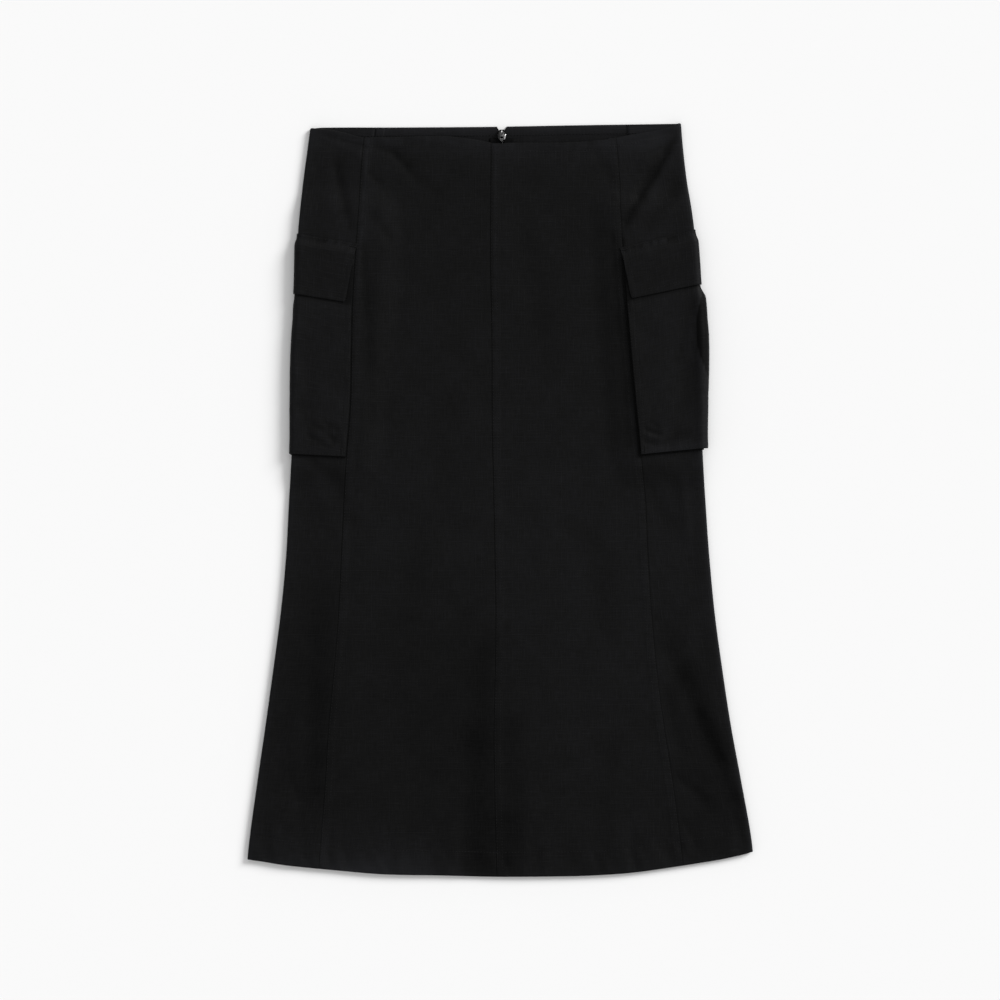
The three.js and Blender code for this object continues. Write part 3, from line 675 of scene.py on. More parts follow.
def waves(tree, position, spacing):
    return calculate(tree, "SINE", calculate(tree, "MULTIPLY", position, 2 * math.pi / spacing))


def streaks(tree, flat, along_scale, across_scale):
    """Slubs: noise that is drawn out along one direction of the cloth."""
    drawn = add_node(tree, "Mapping", {"Vector": flat, "Scale": (across_scale, along_scale, 1.0)})
    return noise(tree, drawn.outputs["Vector"], 1.0, 2.0)


def ripstop(name):
    finish = new_finish(name)
    tree = finish.tree
    flat = add_node(tree, "UVMap", uv_map="pattern").outputs["UV"]
    split = add_node(tree, "SeparateXYZ", {0: flat})
    across, length = split.outputs["X"], split.outputs["Y"]
    slubs_across = streaks(tree, flat, SLUB_LENGTHWISE, SLUB_CROSSWISE)
    slubs_along = streaks(tree, flat, SLUB_CROSSWISE, SLUB_LENGTHWISE)
    dye = noise(tree, flat, 30.0, 4.0)
    fuzz = noise(tree, flat, 1100.0, 3.0)
    weft = raised_lines(tree, length, LINE_SPACING_ALONG)
    weft = calculate(tree, "MULTIPLY", weft, soft_step(tree, slubs_across, 0.3, 0.6))
    warp = raised_lines(tree, across, LINE_SPACING_ACROSS)
    warp = calculate(tree, "MULTIPLY", warp, soft_step(tree, slubs_along, 0.3, 0.7))
    lines = calculate(tree, "MAXIMUM", weft, calculate(tree, "MULTIPLY", warp, 0.8))
    slubs = calculate(tree, "ADD", slubs_across, slubs_along)
    weave = calculate(
        tree, "MULTIPLY", waves(tree, across, THREAD_SPACING), waves(tree, length, THREAD_SPACING),
    )
    grain = calculate(tree, "MULTIPLY_ADD", weave, 0.3, fuzz)
    ribbed = calculate(tree, "MULTIPLY_ADD", slubs, 2.2, grain)
    height = calculate(tree, "MULTIPLY_ADD", lines, 1.7, ribbed)
    # The tone of each point: paler worn places, and painted light and shade
    tone = add_node(tree, "Attribute", attribute_name="tone").outputs["Fac"]
    uneven = soft_step(tree, dye, 0.3, 0.7, 0.9, 1.1)
    slubbed = calculate(tree, "MULTIPLY_ADD", calculate(tree, "SUBTRACT", slubs, 1.0), 0.9, uneven)
    on_lines = calculate(tree, "MULTIPLY_ADD", lines, 0.2, slubbed)
    level = calculate(tree, "MULTIPLY", calculate(tree, "ADD", on_lines, tone), TONE_SCALE)
    black = add_node(tree, "ValToRGB", {"Fac": level})
    black.color_ramp.elements.new(BLACK_STOPS[1][0])
    for stop, (position, colour) in zip(black.color_ramp.elements, BLACK_STOPS):
        stop.position = position
        stop.color = (*colour, 1)
    set_inputs(tree, finish.surface, {
        "Base Color": black.outputs["Color"],
        "Roughness": soft_step(tree, fuzz, 0.3, 0.7, 0.5, 0.62),
        "Normal": bumped(tree, height, 0.8, 0.06),
        "Specular IOR Level": 0.06,
        "Sheen Weight": 0.006,
        "Sheen Roughness": 0.5,
    })
    return finish.material


RIPSTOP = ripstop("black_ripstop")
print("made", RIPSTOP.name)

# %% [markdown]
# ## The front panels
# Two flared panels meet in the centre-front seam. Each is one sheet between two seams, with its columns
# close together beside the seams, where the relief of the sewing is finest.

# %% Sew the front panels
PANEL_STEP = 2.4
PANEL_WIDTH = 160
SETTLING_ROUNDS = 5


def dress(piece, node, flat, area, rests_on, body="skirt"):
    """Give a sheet of ripstop its finish and its body, hide the solid it stands for, and print its cut
    size.
    """
    piece.data.materials.append(RIPSTOP)
    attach(piece, body)
    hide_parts(node)
    print(piece.name, "cut", [round(size, 3) for size in flat], "m, area", round(area, 3), "m2")


def cut_size(width_at, allowance=0.016, turned=0.036):
    """Flat width, length and area of a panel, with its seam allowances and its turned edges, in metres."""
    widths = width_at(np.linspace(0, SKIRT_LENGTH, 200)) * MM + allowance
    length = ROW_LENGTH * MM + turned
    return (float(widths.max()), length), float(widths.mean()) * length


# Painted light and shade: soft patches where the black is paler or deeper
# Columns: x, down, reach across, reach down, tone
PAINTED_LIGHT_PATCHES = [
    (0, 480, 500, 220, 0.22), (-63, 620, 85, 150, -0.34), (-212, 612, 46, 170, -0.32),
    (-137, 806, 80, 32, 1.25), (-8, 770, 34, 60, -0.25), (228, 675, 40, 120, -0.3),
    (160, 15, 55, 24, 0.5), (-150, 100, 40, 60, 0.3), (160, 90, 50, 50, 0.25), (-228, 770, 24, 26, 0.25),
]
# Painted shade down in the troughs of creases, and a painted highlight on their crests
HOLLOW_PAINTED_SHADE = 0.5
CREST_PAINTED_HIGHLIGHT = 0.12
# Painted shade along folds, with a little painted light beside one of them
# Columns: x, down, x, down, width, tone
PAINTED_FOLD_SHADES = [
    (183, 545, 197, 578, 9, -0.14), (197, 578, 212, 622, 9, -0.18), (212, 622, 231, 667, 9, -0.22),
    (231, 667, 251, 715, 8, -0.2),
    (163, 54, 136, 100, 9, -0.2), (180, 44, 160, 76, 5, 0.12),
    (4, 640, 7, 740, 16, -0.12), (7, 740, 9, 796, 11, -0.3), (78, 762, 80, 792, 5, -0.2),
    (44, 770, 46, 796, 4, -0.2), (118, 750, 112, 786, 5, -0.18),
]
# Painted shade down in the seams and on the waist's edge
SEAM_PAINTED_SHADE = 0.4
SEAM_SHADE_LOWER_DOWN = 0.08
BAND_PALE = 0.12
LADDER_PALE = 0.3
LADDER_ROW = 5.2
LADDER_HALF = 2
SEAM_HALF = 0.04
SEAM_SHADE_HALF = 1.1
WAIST_PALE = 0.6
WAIST_PALE_REACH = 19
WAIST_EDGE_SHADE = 0.5
WAIST_EDGE_REACH = 1.3
HEM_PALE = 0.45
HEM_PALE_REACH = 6
# Painted sheen round the side folds
FOLD_SHEEN = 0.9
FOLD_SHEEN_REACH = 3.5


def painted_light_and_shade(x, down):
    """Painted light and shade: the black slowly paler towards the top and at the left hem and deeper lower
    down, with painted shade along folds.
    """
    total = np.zeros(np.broadcast(x, down).shape)
    for x0, down0, reach_x, reach_down, amount in PAINTED_LIGHT_PATCHES:
        total += amount * np.exp(-(((x - x0) / reach_x) ** 2) - ((down - down0) / reach_down) ** 2)
    return total + ridges(PAINTED_FOLD_SHADES, x, down)


# Painted shade down in the troughs of folds and creases, and a painted highlight on their crests.
def crease_light_and_shade(x, down):
    height = ridges(CREASES, x, down) + 0.3 * ridges(FOLDS, x, down)
    return -HOLLOW_PAINTED_SHADE * np.clip(-height, 0, 1.2) + CREST_PAINTED_HIGHLIGHT * np.clip(height, 0, 1)


def seam_shade_and_edge_tone(away, at):
    """Painted shade down in the seams and right on the waist's edge; paler by the waist and on the hem's
    edge.
    """
    seam = mix(SEAM_PAINTED_SHADE, SEAM_SHADE_LOWER_DOWN, ease((at - 420) / 160)) * bell(away / SEAM_SHADE_HALF)
    waist = WAIST_PALE * bell(at / WAIST_PALE_REACH) - WAIST_EDGE_SHADE * bell(at / WAIST_EDGE_REACH)
    return waist + HEM_PALE * np.exp(-(ROW_LENGTH - at) / HEM_PALE_REACH) - seam


def painted_fold_sheen(away):
    """Painted sheen: paler where the cloth turns round a side fold."""
    return FOLD_SHEEN * np.exp(-np.maximum(away, 0) / FOLD_SHEEN_REACH)


def panel_grid(seam_a, seam_b, near, part, at, waist, hem):
    """Where a panel's points lie: x and down depend on each other, and settle in a few rounds."""
    down = at / ROW_LENGTH * SKIRT_LENGTH + 0 * part
    for _ in range(SETTLING_ROUNDS):
        start = seam_a(down) + near
        x = mix(start, seam_b(down) - near, part)
        down = mix(waist(x), hem(x), at / ROW_LENGTH)
    return x, down


def front_panel(name, seam_a, seam_b, pale_at_both_seams):
    near, part = between_seams(PANEL_STEP, PANEL_WIDTH)
    at = FINE_ROWS[None, :]
    x, down = panel_grid(seam_a, seam_b, near, part, at, front_waist, front_hem)
    cloth = turned_cloth(at)
    z = front_top(x, down, cloth)
    less = round_edge(at) * cloth
    outer = place(x, down, z + front_sewing(x, down) * off_edges(at) - less)
    inner = place(x, down, z - cloth + less)
    from_a, from_b = x - seam_a(down), seam_b(down) - x
    away = np.minimum(from_a, from_b)
    band = away if pale_at_both_seams else from_a
    tone = seam_shade_and_edge_tone(away, at) + painted_light_and_shade(x, down) + crease_light_and_shade(x, down)
    uneven = LADDER_PALE * (1 + 0.7 * wobble(at, 5, 61)) * (1 - ease((at - 60) / 260))
    ladder = uneven * bell((from_a - LADDER_ROW) / LADDER_HALF)
    mottled = BAND_PALE * (1 + 0.8 * wobble(at, 7, 62)) * ease((at - 120) / 200)
    tone = tone + mottled * (1 - ease((band - BAND_WIDTH + 1) / 3)) + ladder
    return cloth_mesh(name, outer, inner, np.stack([x, down], -1), tone)


def seam_line(column, shift=0.0):
    return lambda down: along(SECTIONS, down, column) + shift


front_left = front_panel(
    "front_left_cloth", seam_line(LEFT_SEAM, SEAM_HALF), seam_line(CENTRE_SEAM, -SEAM_HALF), False,
)
front_right = front_panel(
    "front_right_cloth", seam_line(CENTRE_SEAM, SEAM_HALF), seam_line(RIGHT_SEAM, -SEAM_HALF), True,
)
front_sizes = [
    cut_size(lambda down: along(SECTIONS, down, CENTRE_SEAM) - along(SECTIONS, down, LEFT_SEAM)),
    cut_size(lambda down: along(SECTIONS, down, RIGHT_SEAM) - along(SECTIONS, down, CENTRE_SEAM)),
]
dress(front_left, "front_left", *front_sizes[0], ["back_left_cloth"])
dress(front_right, "front_right", *front_sizes[1], ["back_right_cloth"])

# %% [markdown]
# ## The back panels
# The back lies under the front. Only a strip of its inside shows, above the dip of the front waist, with
# a V notch for the zip in its middle. So the back has fewer points, but the same turned edges.

# %% Sew the back panels
ZIP_X = 2
BACK_WAIST_PALE = 1.5
BACK_PALE_REACH = 9
BACK_STEP = 4.5
BACK_WIDTH = 150
# Columns: down, half the width of the gap between the two back panels
NOTCH = [(4.5, 5), (9, 2.3), (14, 1.6), (50, HALF_GAP)]


def notch_half(down):
    return along(NOTCH, down)


def back_seam_x(side, down):
    return fold_x(side, down) + side.inward * back_width(side, down)


def back_turn_relief(x, down):
    """The inside of the turned back waist: its sewn edge, and drag lines towards the two corners."""
    below = down - back_waist(x)
    drag = 0.16 * wobble(below - 0.05 * np.abs(x - ZIP_X), 3.4, 61) + 0.12 * wobble(x, 19, 62)
    shown = ease(below / 2) * (1 - ease((below - 22) / 12))
    return drag * shown + 0.22 * wobble(x, 33, 63) * shown


def back_waist_cloth(at):
    """The cloth inside the back waist gets thinner softly, where its turned edge ends."""
    return mix(WAIST_CLOTH, CLOTH, ease((at - 6) / 9))


def back_waist_tone(below):
    return BACK_WAIST_PALE * np.exp(-below / BACK_PALE_REACH)


def back_panel(name, seam_a, seam_b):
    near, part = between_seams(BACK_STEP, BACK_WIDTH)
    at = COARSE_ROWS[None, :]
    x, down = panel_grid(seam_a, seam_b, near, part, at, back_waist, back_hem)
    cloth = np.where(at < ROW_LENGTH / 2, back_waist_cloth(at), turned_cloth(at))
    z = lift(x, down)
    less = round_edge(at) * cloth
    outer = place(x, down, z + cloth - less + back_turn_relief(x, down) * ease(at / EDGE_CLEAR))
    inner = place(x, down, z + less)
    away = np.minimum(x - seam_a(down), seam_b(down) - x)
    # Painted shade down in the seams
    tone = back_waist_tone(at) - SEAM_PAINTED_SHADE * bell(away / SEAM_SHADE_HALF)
    return cloth_mesh(name, outer, inner, np.stack([x, down], -1), tone)


back_left = back_panel(
    "back_left_cloth",
    lambda down: back_seam_x(LEFT, down) + SEAM_HALF, lambda down: ZIP_X - notch_half(down),
)
back_right = back_panel(
    "back_right_cloth",
    lambda down: ZIP_X + notch_half(down), lambda down: back_seam_x(RIGHT, down) - SEAM_HALF,
)
dress(
    back_left, "back_left", *cut_size(lambda down: ZIP_X - back_seam_x(LEFT, down)), ["table_top"],
)
dress(
    back_right, "back_right", *cut_size(lambda down: back_seam_x(RIGHT, down) - ZIP_X), ["table_top"],
)

# %% [markdown]
# ## The side panels
# There is no side seam: one panel wraps round each side fold, from the back seam to the front one. Points
# on it are given by "turn", the distance round from the fold, to the front above zero and to the back
# below it. The same map carries the pockets and flaps, which wrap round the fold with the panel.

# %% Wrap the side panels round the folds


def side_point(side, turn, down, stand, cloth=CLOTH):
    x0 = fold_x(side, down)
    angle = np.clip(turn, -QUARTER_TURN, QUARTER_TURN) / FOLD_RADIUS
    radius = FOLD_RADIUS + stand
    arc_x = x0 + side.inward * (FOLD_RADIUS - radius * np.cos(angle))
    arc_z = lift(x0, down) + FOLD_RADIUS + radius * np.sin(angle)
    flat_x = x0 + side.inward * (FOLD_RADIUS + np.abs(turn) - QUARTER_TURN)
    front_z = front_top(flat_x, down, cloth) + stand
    back_z = lift(flat_x, down) - stand
    on_arc = np.abs(turn) <= QUARTER_TURN
    x = np.where(on_arc, arc_x, flat_x)
    return place(x, down, np.where(on_arc, arc_z, np.where(turn > 0, front_z, back_z)))


ARC_STEPS = 10
BACK_STEPS = 14
SIDE_WIDTH = 55
# Painted shadow on the panel beside the right pocket's bellows
POCKET_GAP_SHADOW = 1.1
BESIDE_POCKET_REACH = 2.8


def wrap_columns(step, width):
    """Columns from the back edge round the fold to the front edge: layer, share, distance from the edge."""
    back = [("back", 1 - share, 0.0) for share in np.arange(BACK_STEPS) / BACK_STEPS]
    arc = [("turn", 2 * share - 1, 0.0) for share in np.arange(ARC_STEPS + 1) / ARC_STEPS]
    shares = spaced(0, 1, step / (width - BESIDE_SEAM[-1]))[1:-1]
    front = [("front", share, BESIDE_SEAM[-1]) for share in shares]
    edge = [("front", 1.0, near) for near in BESIDE_SEAM[::-1]]
    return back + arc + front + edge


def wrap_turn(side, column, down, front_inset, back_inset):
    layer, share, near = column
    if layer == "turn":
        return share * QUARTER_TURN + 0 * down
    if layer == "front":
        return QUARTER_TURN + share * (front_width(side, down) - FOLD_RADIUS - front_inset - near)
    return -QUARTER_TURN - share * (back_width(side, down) - FOLD_RADIUS - back_inset)


def painted_pocket_shadow(side, turn, down):
    """Painted shadow: the panel is deeper black in the gap beside the bellows of the right pocket."""
    if side is LEFT:
        return 0.0
    away = front_width(side, down) + QUARTER_TURN - FOLD_RADIUS - turn
    beside = ease((down - 118) / 8) * (1 - ease((down - 345) / 6))
    return -POCKET_GAP_SHADOW * bell(away / BESIDE_POCKET_REACH) * beside


def side_panel(side):
    columns = wrap_columns(PANEL_STEP, SIDE_WIDTH)
    at = FINE_ROWS
    cloth = turned_cloth(at)
    less = round_edge(at) * cloth
    outer, inner, pattern, tones = [], [], [], []
    for column in columns:
        waist, hem = (back_waist, back_hem) if column[0] == "back" else (front_waist, front_hem)
        down = at / ROW_LENGTH * SKIRT_LENGTH
        for _ in range(SETTLING_ROUNDS):
            turn = wrap_turn(side, column, down, SEAM_HALF, SEAM_HALF)
            reach = np.maximum(0, np.abs(turn) - QUARTER_TURN + FOLD_RADIUS)
            x = fold_x(side, down) + side.inward * (0 if column[0] == "turn" else reach)
            down = mix(waist(x), hem(x), at / ROW_LENGTH)
        turn = wrap_turn(side, column, down, SEAM_HALF, SEAM_HALF)
        sewing = front_sewing(x, down) * off_edges(at) * ease((turn - QUARTER_TURN) / 4)
        outer.append(side_point(side, turn, down, sewing - less, cloth))
        inner.append(side_point(side, turn, down, less - cloth, cloth))
        pattern.append(np.stack([side.inward * turn, down], -1))
        edge = side.inward * (along(SECTIONS, down, side.seam) - x) if column[0] == "front" else 30
        round_fold_sheen = painted_fold_sheen(turn - QUARTER_TURN / 2) * (turn > -QUARTER_TURN)
        tone = seam_shade_and_edge_tone(edge, at) + painted_light_and_shade(x, down) + crease_light_and_shade(x, down) * (turn > 0) + round_fold_sheen
        tones.append(tone + painted_pocket_shadow(side, turn, down))
    return cloth_mesh(
        f"side_{side.name}_cloth", np.array(outer), np.array(inner), np.array(pattern), np.array(tones),
    )


for side in (LEFT, RIGHT):
    flat, area = cut_size(lambda down: front_width(side, down) + back_width(side, down))
    dress(side_panel(side), f"side_{side.name}", flat, area, ["table_top", f"back_{side.name}_cloth"])

# %% [markdown]
# ## Cargo pockets
# A bellows pocket is a flat face on a folded strip, the gusset, so that it can fill out. Its top opening
# lies under a flap. The face is held to the skirt along its edges, stands off it beside the fold, and
# wraps round the fold to the back, where nobody sees it.

# %% The pockets' own sizes
Pocket = collections.namedtuple("Pocket", [
    "flap_top", "flap_top_slope", "flap_bottom", "flap_bottom_slope", "bottom", "bottom_slope",
    "flap_inset", "flap_inset_below", "inset", "gusset_inset", "gusset_below",
    "stand_fold", "stand_front", "stand_edge", "bulge", "hem_pale",
])
POCKETS = {
    "left": Pocket(
        flap_top=117.7, flap_top_slope=0.169, flap_bottom=182, flap_bottom_slope=0.16,
        bottom=351.2, bottom_slope=0.05, flap_inset=-2.2, flap_inset_below=8.8,
        inset=1.2, gusset_inset=0.9, gusset_below=1,
        stand_fold=1.7, stand_front=1.8, stand_edge=1.8, bulge=0.7, hem_pale=0.0,
    ),
    "right": Pocket(
        flap_top=113.5, flap_top_slope=0.235, flap_bottom=171.8, flap_bottom_slope=0.205,
        bottom=345.2, bottom_slope=0.097, flap_inset=-3.6, flap_inset_below=6.2,
        inset=0.4, gusset_inset=-2, gusset_below=1.5,
        stand_fold=5, stand_front=2.3, stand_edge=2.9, bulge=3, hem_pale=0.6,
    ),
}
POCKET_BELOW_FLAP_TOP = 16
BACK_INSET = 3
STAND_UNDER_FLAP = (0.8, 1.6)
STAND_BACK = POCKET_LIFT - POCKET_CLOTH
FLAP_STAND = (STAND_BACK, STAND_UNDER_FLAP[1] + POCKET_CLOTH + 2 * HALF_GAP)
FLAP_RISE = (3, 13)
STAND_EASE = 12
FREE_LENGTH = 13
EDGE_EASE = 16
BULGE_AT = 235
BULGE_LENGTH = 50
GUSSET_TUCK = 4
GUSSET_CLEAR = 0.5


def flap_top(pocket, turn):
    return pocket.flap_top + pocket.flap_top_slope * turn


def flap_bottom(pocket, turn):
    return pocket.flap_bottom + pocket.flap_bottom_slope * turn


def pocket_bottom(pocket, turn):
    return pocket.bottom + pocket.bottom_slope * turn


def round_fold(turn):
    return np.clip((turn / QUARTER_TURN + 1) / 2, 0, 1)


def front_edge_turn(side, down, inset):
    return QUARTER_TURN + front_width(side, down) - FOLD_RADIUS - inset


def pocket_stand(side, turn, down):
    """How far the inside of a pocket's face stands off the panel."""
    pocket = POCKETS[side.name]
    covered = mix(*STAND_UNDER_FLAP, round_fold(turn))
    free = ease((down - flap_bottom(pocket, turn) - 1) / FREE_LENGTH)
    swell = bell((down - BULGE_AT) / BULGE_LENGTH) * pocket.bulge
    at_fold = pocket.stand_fold + swell
    by_edge = 1 - ease((front_edge_turn(side, down, pocket.inset) - turn) / EDGE_EASE)
    front_stand = mix(pocket.stand_front, pocket.stand_edge, by_edge)
    flat = np.where(turn >= 0, front_stand, STAND_BACK)
    left = 1 - np.minimum(1, np.abs(turn) / np.where(turn >= 0, STAND_EASE, QUARTER_TURN))
    return mix(covered, mix(flat, at_fold, left**2), free)


print("pockets reach", POCKETS["left"].bottom, "and", POCKETS["right"].bottom, "mm down")

# %% Wrap a small sheet round the fold
POCKET_ROWS = (1.2, 6.5)
POCKET_BOTTOM_ROW = 1.6
POCKET_WIDTH = 60


def on_front(turn):
    """Nothing beyond the fold, where the cloth lies against the table, and all of it on the front."""
    return ease((turn + QUARTER_TURN) / 6)


def wrap_sheet(name, side, insets, downs, stand_at, relief_at, tone_at, step=2.0):
    """Each of downs gives a row's distance down from its turn; insets are at the top and bottom row."""
    columns = wrap_columns(step, POCKET_WIDTH)
    shares = np.linspace(0, 1, len(downs))
    outer, inner, pattern, tones = [], [], [], []
    for column in columns:
        inset = mix(insets[0], insets[1], shares)
        turn = np.zeros(len(downs))
        for _ in range(4):
            down = np.array([row(turn[index]) for index, row in enumerate(downs)], float)
            turn = wrap_turn(side, column, down, inset, BACK_INSET)
        stand = stand_at(turn, down, shares)
        relief = relief_at(turn, down) * on_front(turn)
        outer.append(side_point(side, turn, down, stand + POCKET_CLOTH + relief))
        inner.append(side_point(side, turn, down, stand))
        pattern.append(np.stack([side.inward * turn, down - POCKETS[side.name].flap_top_slope * turn], -1))
        tones.append(tone_at(turn, down))
    return cloth_mesh(name, np.array(outer), np.array(inner), np.array(pattern), np.array(tones))


def edge_roll(away, depth=0.22, width=0.6):
    return -depth * bell(np.maximum(away, 0) / width)


# %% Sew the pocket faces
POCKET_CREASES = {
    "left": [
        (24, 320, 46, 336, 3.4, -0.6), (20, 332, 40, 344, 3, -0.5), (34, 316, 50, 326, 2.6, -0.4),
        (30, 330, 44, 330, 3, 0.4), (40, 322, 46, 340, 2.6, -0.4), (10, 300, 24, 340, 6, -0.4),
        (40, 190, 44, 260, 6, 0.3), (12, 230, 20, 300, 8, -0.3), (52, 320, 58, 344, 3, 0.4),
    ],
    "right": [
        (10, 200, 26, 250, 7, -0.5), (14, 260, 30, 330, 8, -0.4), (48, 330, 61, 326, 2.6, -0.9),
        (46, 336, 59, 333, 2.4, 0.7), (52, 341, 63, 338, 2.2, -0.7), (49, 323, 56, 318, 2.4, -0.5),
        (43, 328, 48, 337, 2.6, 0.5), (40, 215, 46, 290, 9, 0.35), (20, 330, 44, 340, 5, -0.5),
        (6, 190, 12, 230, 6, 0.4),
    ],
}
CRESCENT = (172, 271)
CRESCENT_TURN = 4.8
# Painted shade where the gusset gapes
CRESCENT_PAINTED_SHADE = -3.2
POCKET_TONE = 0.22
# Painted sheen round the fold, on the pockets and flaps
POCKET_FOLD_SHEEN = 0.4
# Painted shadow under the flap's edge, and painted shade by the pocket's front edge and in its creases
UNDER_FLAP_SHADOW = 0.8
UNDER_FLAP_REACH = 2.6
POCKET_EDGE_SHADE = 0.15
POCKET_EDGE_REACH = 1.5
POCKET_HEM_REACH = 8
POCKET_RIPPLE = 0.16
POCKET_WORN = 0.28
POCKET_HANDLED = 0.1
POCKET_HOLLOW_SHADE = 0.5


def crescent(side, turn, down):
    """The right pocket's gusset gapes beside the fold: painted shade in a crescent outside the pocket's
    edge.
    """
    if side is LEFT:
        return 0.0
    part = np.clip((down - CRESCENT[0]) / (CRESCENT[1] - CRESCENT[0]), 0, 1)
    reach = CRESCENT_TURN * np.sin(math.pi * part) ** 0.8
    return 1 - ease((turn - reach + 0.6) / 1.2)


def pocket_relief(side):
    pocket = POCKETS[side.name]

    def relief(turn, down):
        away = front_edge_turn(side, down, pocket.inset) - turn
        below = pocket_bottom(pocket, turn) - down
        sewn = sum(sunk_row(away - row) for row in POCKET_ROWS)
        bottom_ripple = POCKET_RIPPLE * wobble(turn, 6, 74) * bell(below / 7)
        bottom = sunk_row(below - POCKET_BOTTOM_ROW) + bottom_ripple
        side_ripple = POCKET_RIPPLE * wobble(down + 0.4 * away, 6.3, 71) * bell((away - 3) / 6)
        worn_in = ridges(POCKET_CREASES[side.name], turn, down) + POCKET_WORN * rumple(turn, down, 19, 72)
        free = ease((down - flap_bottom(pocket, turn)) / 8)
        inside = ease(below / 4) * ease(away / 4)
        slow = POCKET_HANDLED * rumple(turn, down, 8, 73)
        creased = (worn_in + slow) * free * inside
        return sewn + bottom + side_ripple + creased + edge_roll(away) + edge_roll(below)

    return relief


def pocket_face(side):
    pocket = POCKETS[side.name]
    shares = np.concatenate([
        np.linspace(0, 0.2, 6)[:-1], np.linspace(0.2, 0.965, 76)[:-1],
        [0.965, 0.972, 0.979, 0.985, 0.9895, 0.9925, 0.9955, 0.998, 1],
    ])

    def row_at(share):
        def down(turn):
            return mix(flap_top(pocket, turn) + POCKET_BELOW_FLAP_TOP, pocket_bottom(pocket, turn), share)
        return down

    def tone(turn, down):
        away = front_edge_turn(side, down, pocket.inset) - turn
        below = pocket_bottom(pocket, turn) - down
        under_flap = down - flap_bottom(pocket, turn)
        # Painted shade in the creases, painted shadow under the flap and painted shade by the front edge
        hollow = -POCKET_HOLLOW_SHADE * np.clip(-ridges(POCKET_CREASES[side.name], turn, down), 0, 1)
        shade = -UNDER_FLAP_SHADOW * bell(np.maximum(under_flap, 0) / UNDER_FLAP_REACH)
        shade = shade - POCKET_EDGE_SHADE * bell(away / POCKET_EDGE_REACH)
        hem = pocket.hem_pale * bell(below / POCKET_HEM_REACH)
        base = POCKET_TONE - pocket.hem_pale * 0.4 * bell(away / 16)
        at_fold = painted_fold_sheen(turn - QUARTER_TURN / 2) * POCKET_FOLD_SHEEN
        return mix(base + hollow + shade + hem + at_fold, CRESCENT_PAINTED_SHADE, crescent(side, turn, down))

    return wrap_sheet(
        f"pocket_{side.name}_cloth", side, (pocket.inset, pocket.inset),
        [row_at(share) for share in shares],
        lambda turn, down, share: pocket_stand(side, turn, down),
        pocket_relief(side), tone,
    )


POCKET_CUT = {"left": (0.160, 0.240), "right": (0.160, 0.235)}
for side in (LEFT, RIGHT):
    width, length = POCKET_CUT[side.name]
    dress(
        pocket_face(side), f"pocket_{side.name}", (width, length), width * length,
        [f"side_{side.name}_cloth"],
    )

# %% [markdown]
# ## Flaps
# The flap is sewn down along its top edge and hangs over the pocket's opening. It is two layers of cloth,
# so its edges are thicker, and a row of stitches runs round it.

# %% Sew the flaps
FLAP_TOP_ROWS = (1.4, 6.6)
FLAP_EDGE_ROW = 6.4
FLAP_TONE = 0.06
GATHER = 0.34
# Painted highlight and shade on the gathers below the flap's top row
GATHER_LIGHT_AND_SHADE = 0.6
GATHER_SPACING = 3.6
FLAP_RIPPLE = 0.12


def flap_relief(side):
    pocket = POCKETS[side.name]

    def relief(turn, down):
        top, bottom = flap_top(pocket, turn), flap_bottom(pocket, turn)
        share = np.clip((down - top) / (bottom - top), 0, 1)
        inset = mix(pocket.flap_inset, pocket.flap_inset_below, share)
        away = front_edge_turn(side, down, inset) - turn
        above = bottom - down
        sewn = sum(sunk_row(down - top - row) for row in FLAP_TOP_ROWS)
        sewn = sewn + sunk_row(above - FLAP_EDGE_ROW) * ease(away / 6)
        sewn = sewn + sunk_row(away - FLAP_EDGE_ROW) * ease(above / 6)
        pucker = GATHER * wobble(turn, GATHER_SPACING, 81) * bell((down - top - 3) / 4)
        pucker = pucker + FLAP_RIPPLE * wobble(turn + 0.3 * above, 7, 82) * bell(above / 8)
        pucker = pucker + FLAP_RIPPLE * wobble(down, 6, 83) * bell(away / 8)
        soft = 0.2 * rumple(turn, down, 17, 84) + 0.08 * rumple(turn, down, 7, 85)
        rolled = edge_roll(away) + edge_roll(above) + edge_roll(down - top)
        return sewn + pucker + soft * ease(away / 8) * ease(above / 6) * ease((down - top) / 8) + rolled

    return relief


def flap_stand(side, turn, down):
    """How far the inside of a flap stands off the panel: sewn down on top, then over the pocket."""
    below = down - flap_top(POCKETS[side.name], turn) - FLAP_RISE[0]
    rise = ease(below / (FLAP_RISE[1] - FLAP_RISE[0]))
    return mix(2 * HALF_GAP, mix(*FLAP_STAND, round_fold(turn)), rise)


def pocket_flap(side):
    pocket = POCKETS[side.name]
    offsets = np.concatenate([[0, 0.4, 0.9, 1.6, 2.4], np.linspace(3, 13, 8)])
    shares = np.concatenate([np.linspace(0, 0.8, 17)[1:], [0.85, 0.89, 0.92, 0.945, 0.965, 0.98, 0.99, 1]])
    start = FLAP_RISE[1]
    bands = [(offset, 0.0) for offset in offsets] + [(start, share) for share in shares]

    def row_at(offset, share):
        return lambda turn: mix(flap_top(pocket, turn) + offset, flap_bottom(pocket, turn), share)

    def tone(turn, down):
        below = down - flap_top(pocket, turn)
        # Painted highlight on the crests of the gathers and painted shade between them
        painted_gathers = GATHER_LIGHT_AND_SHADE * wobble(turn + 0.5 * below, GATHER_SPACING, 81)
        painted_gathers = painted_gathers * bell((below - 3.5) / 3)
        return FLAP_TONE + painted_fold_sheen(turn - QUARTER_TURN / 2) * POCKET_FOLD_SHEEN + painted_gathers

    return wrap_sheet(
        f"flap_{side.name}_cloth", side, (pocket.flap_inset, pocket.flap_inset_below),
        [row_at(*band) for band in bands],
        lambda turn, down, share: flap_stand(side, turn, down), flap_relief(side), tone,
    )


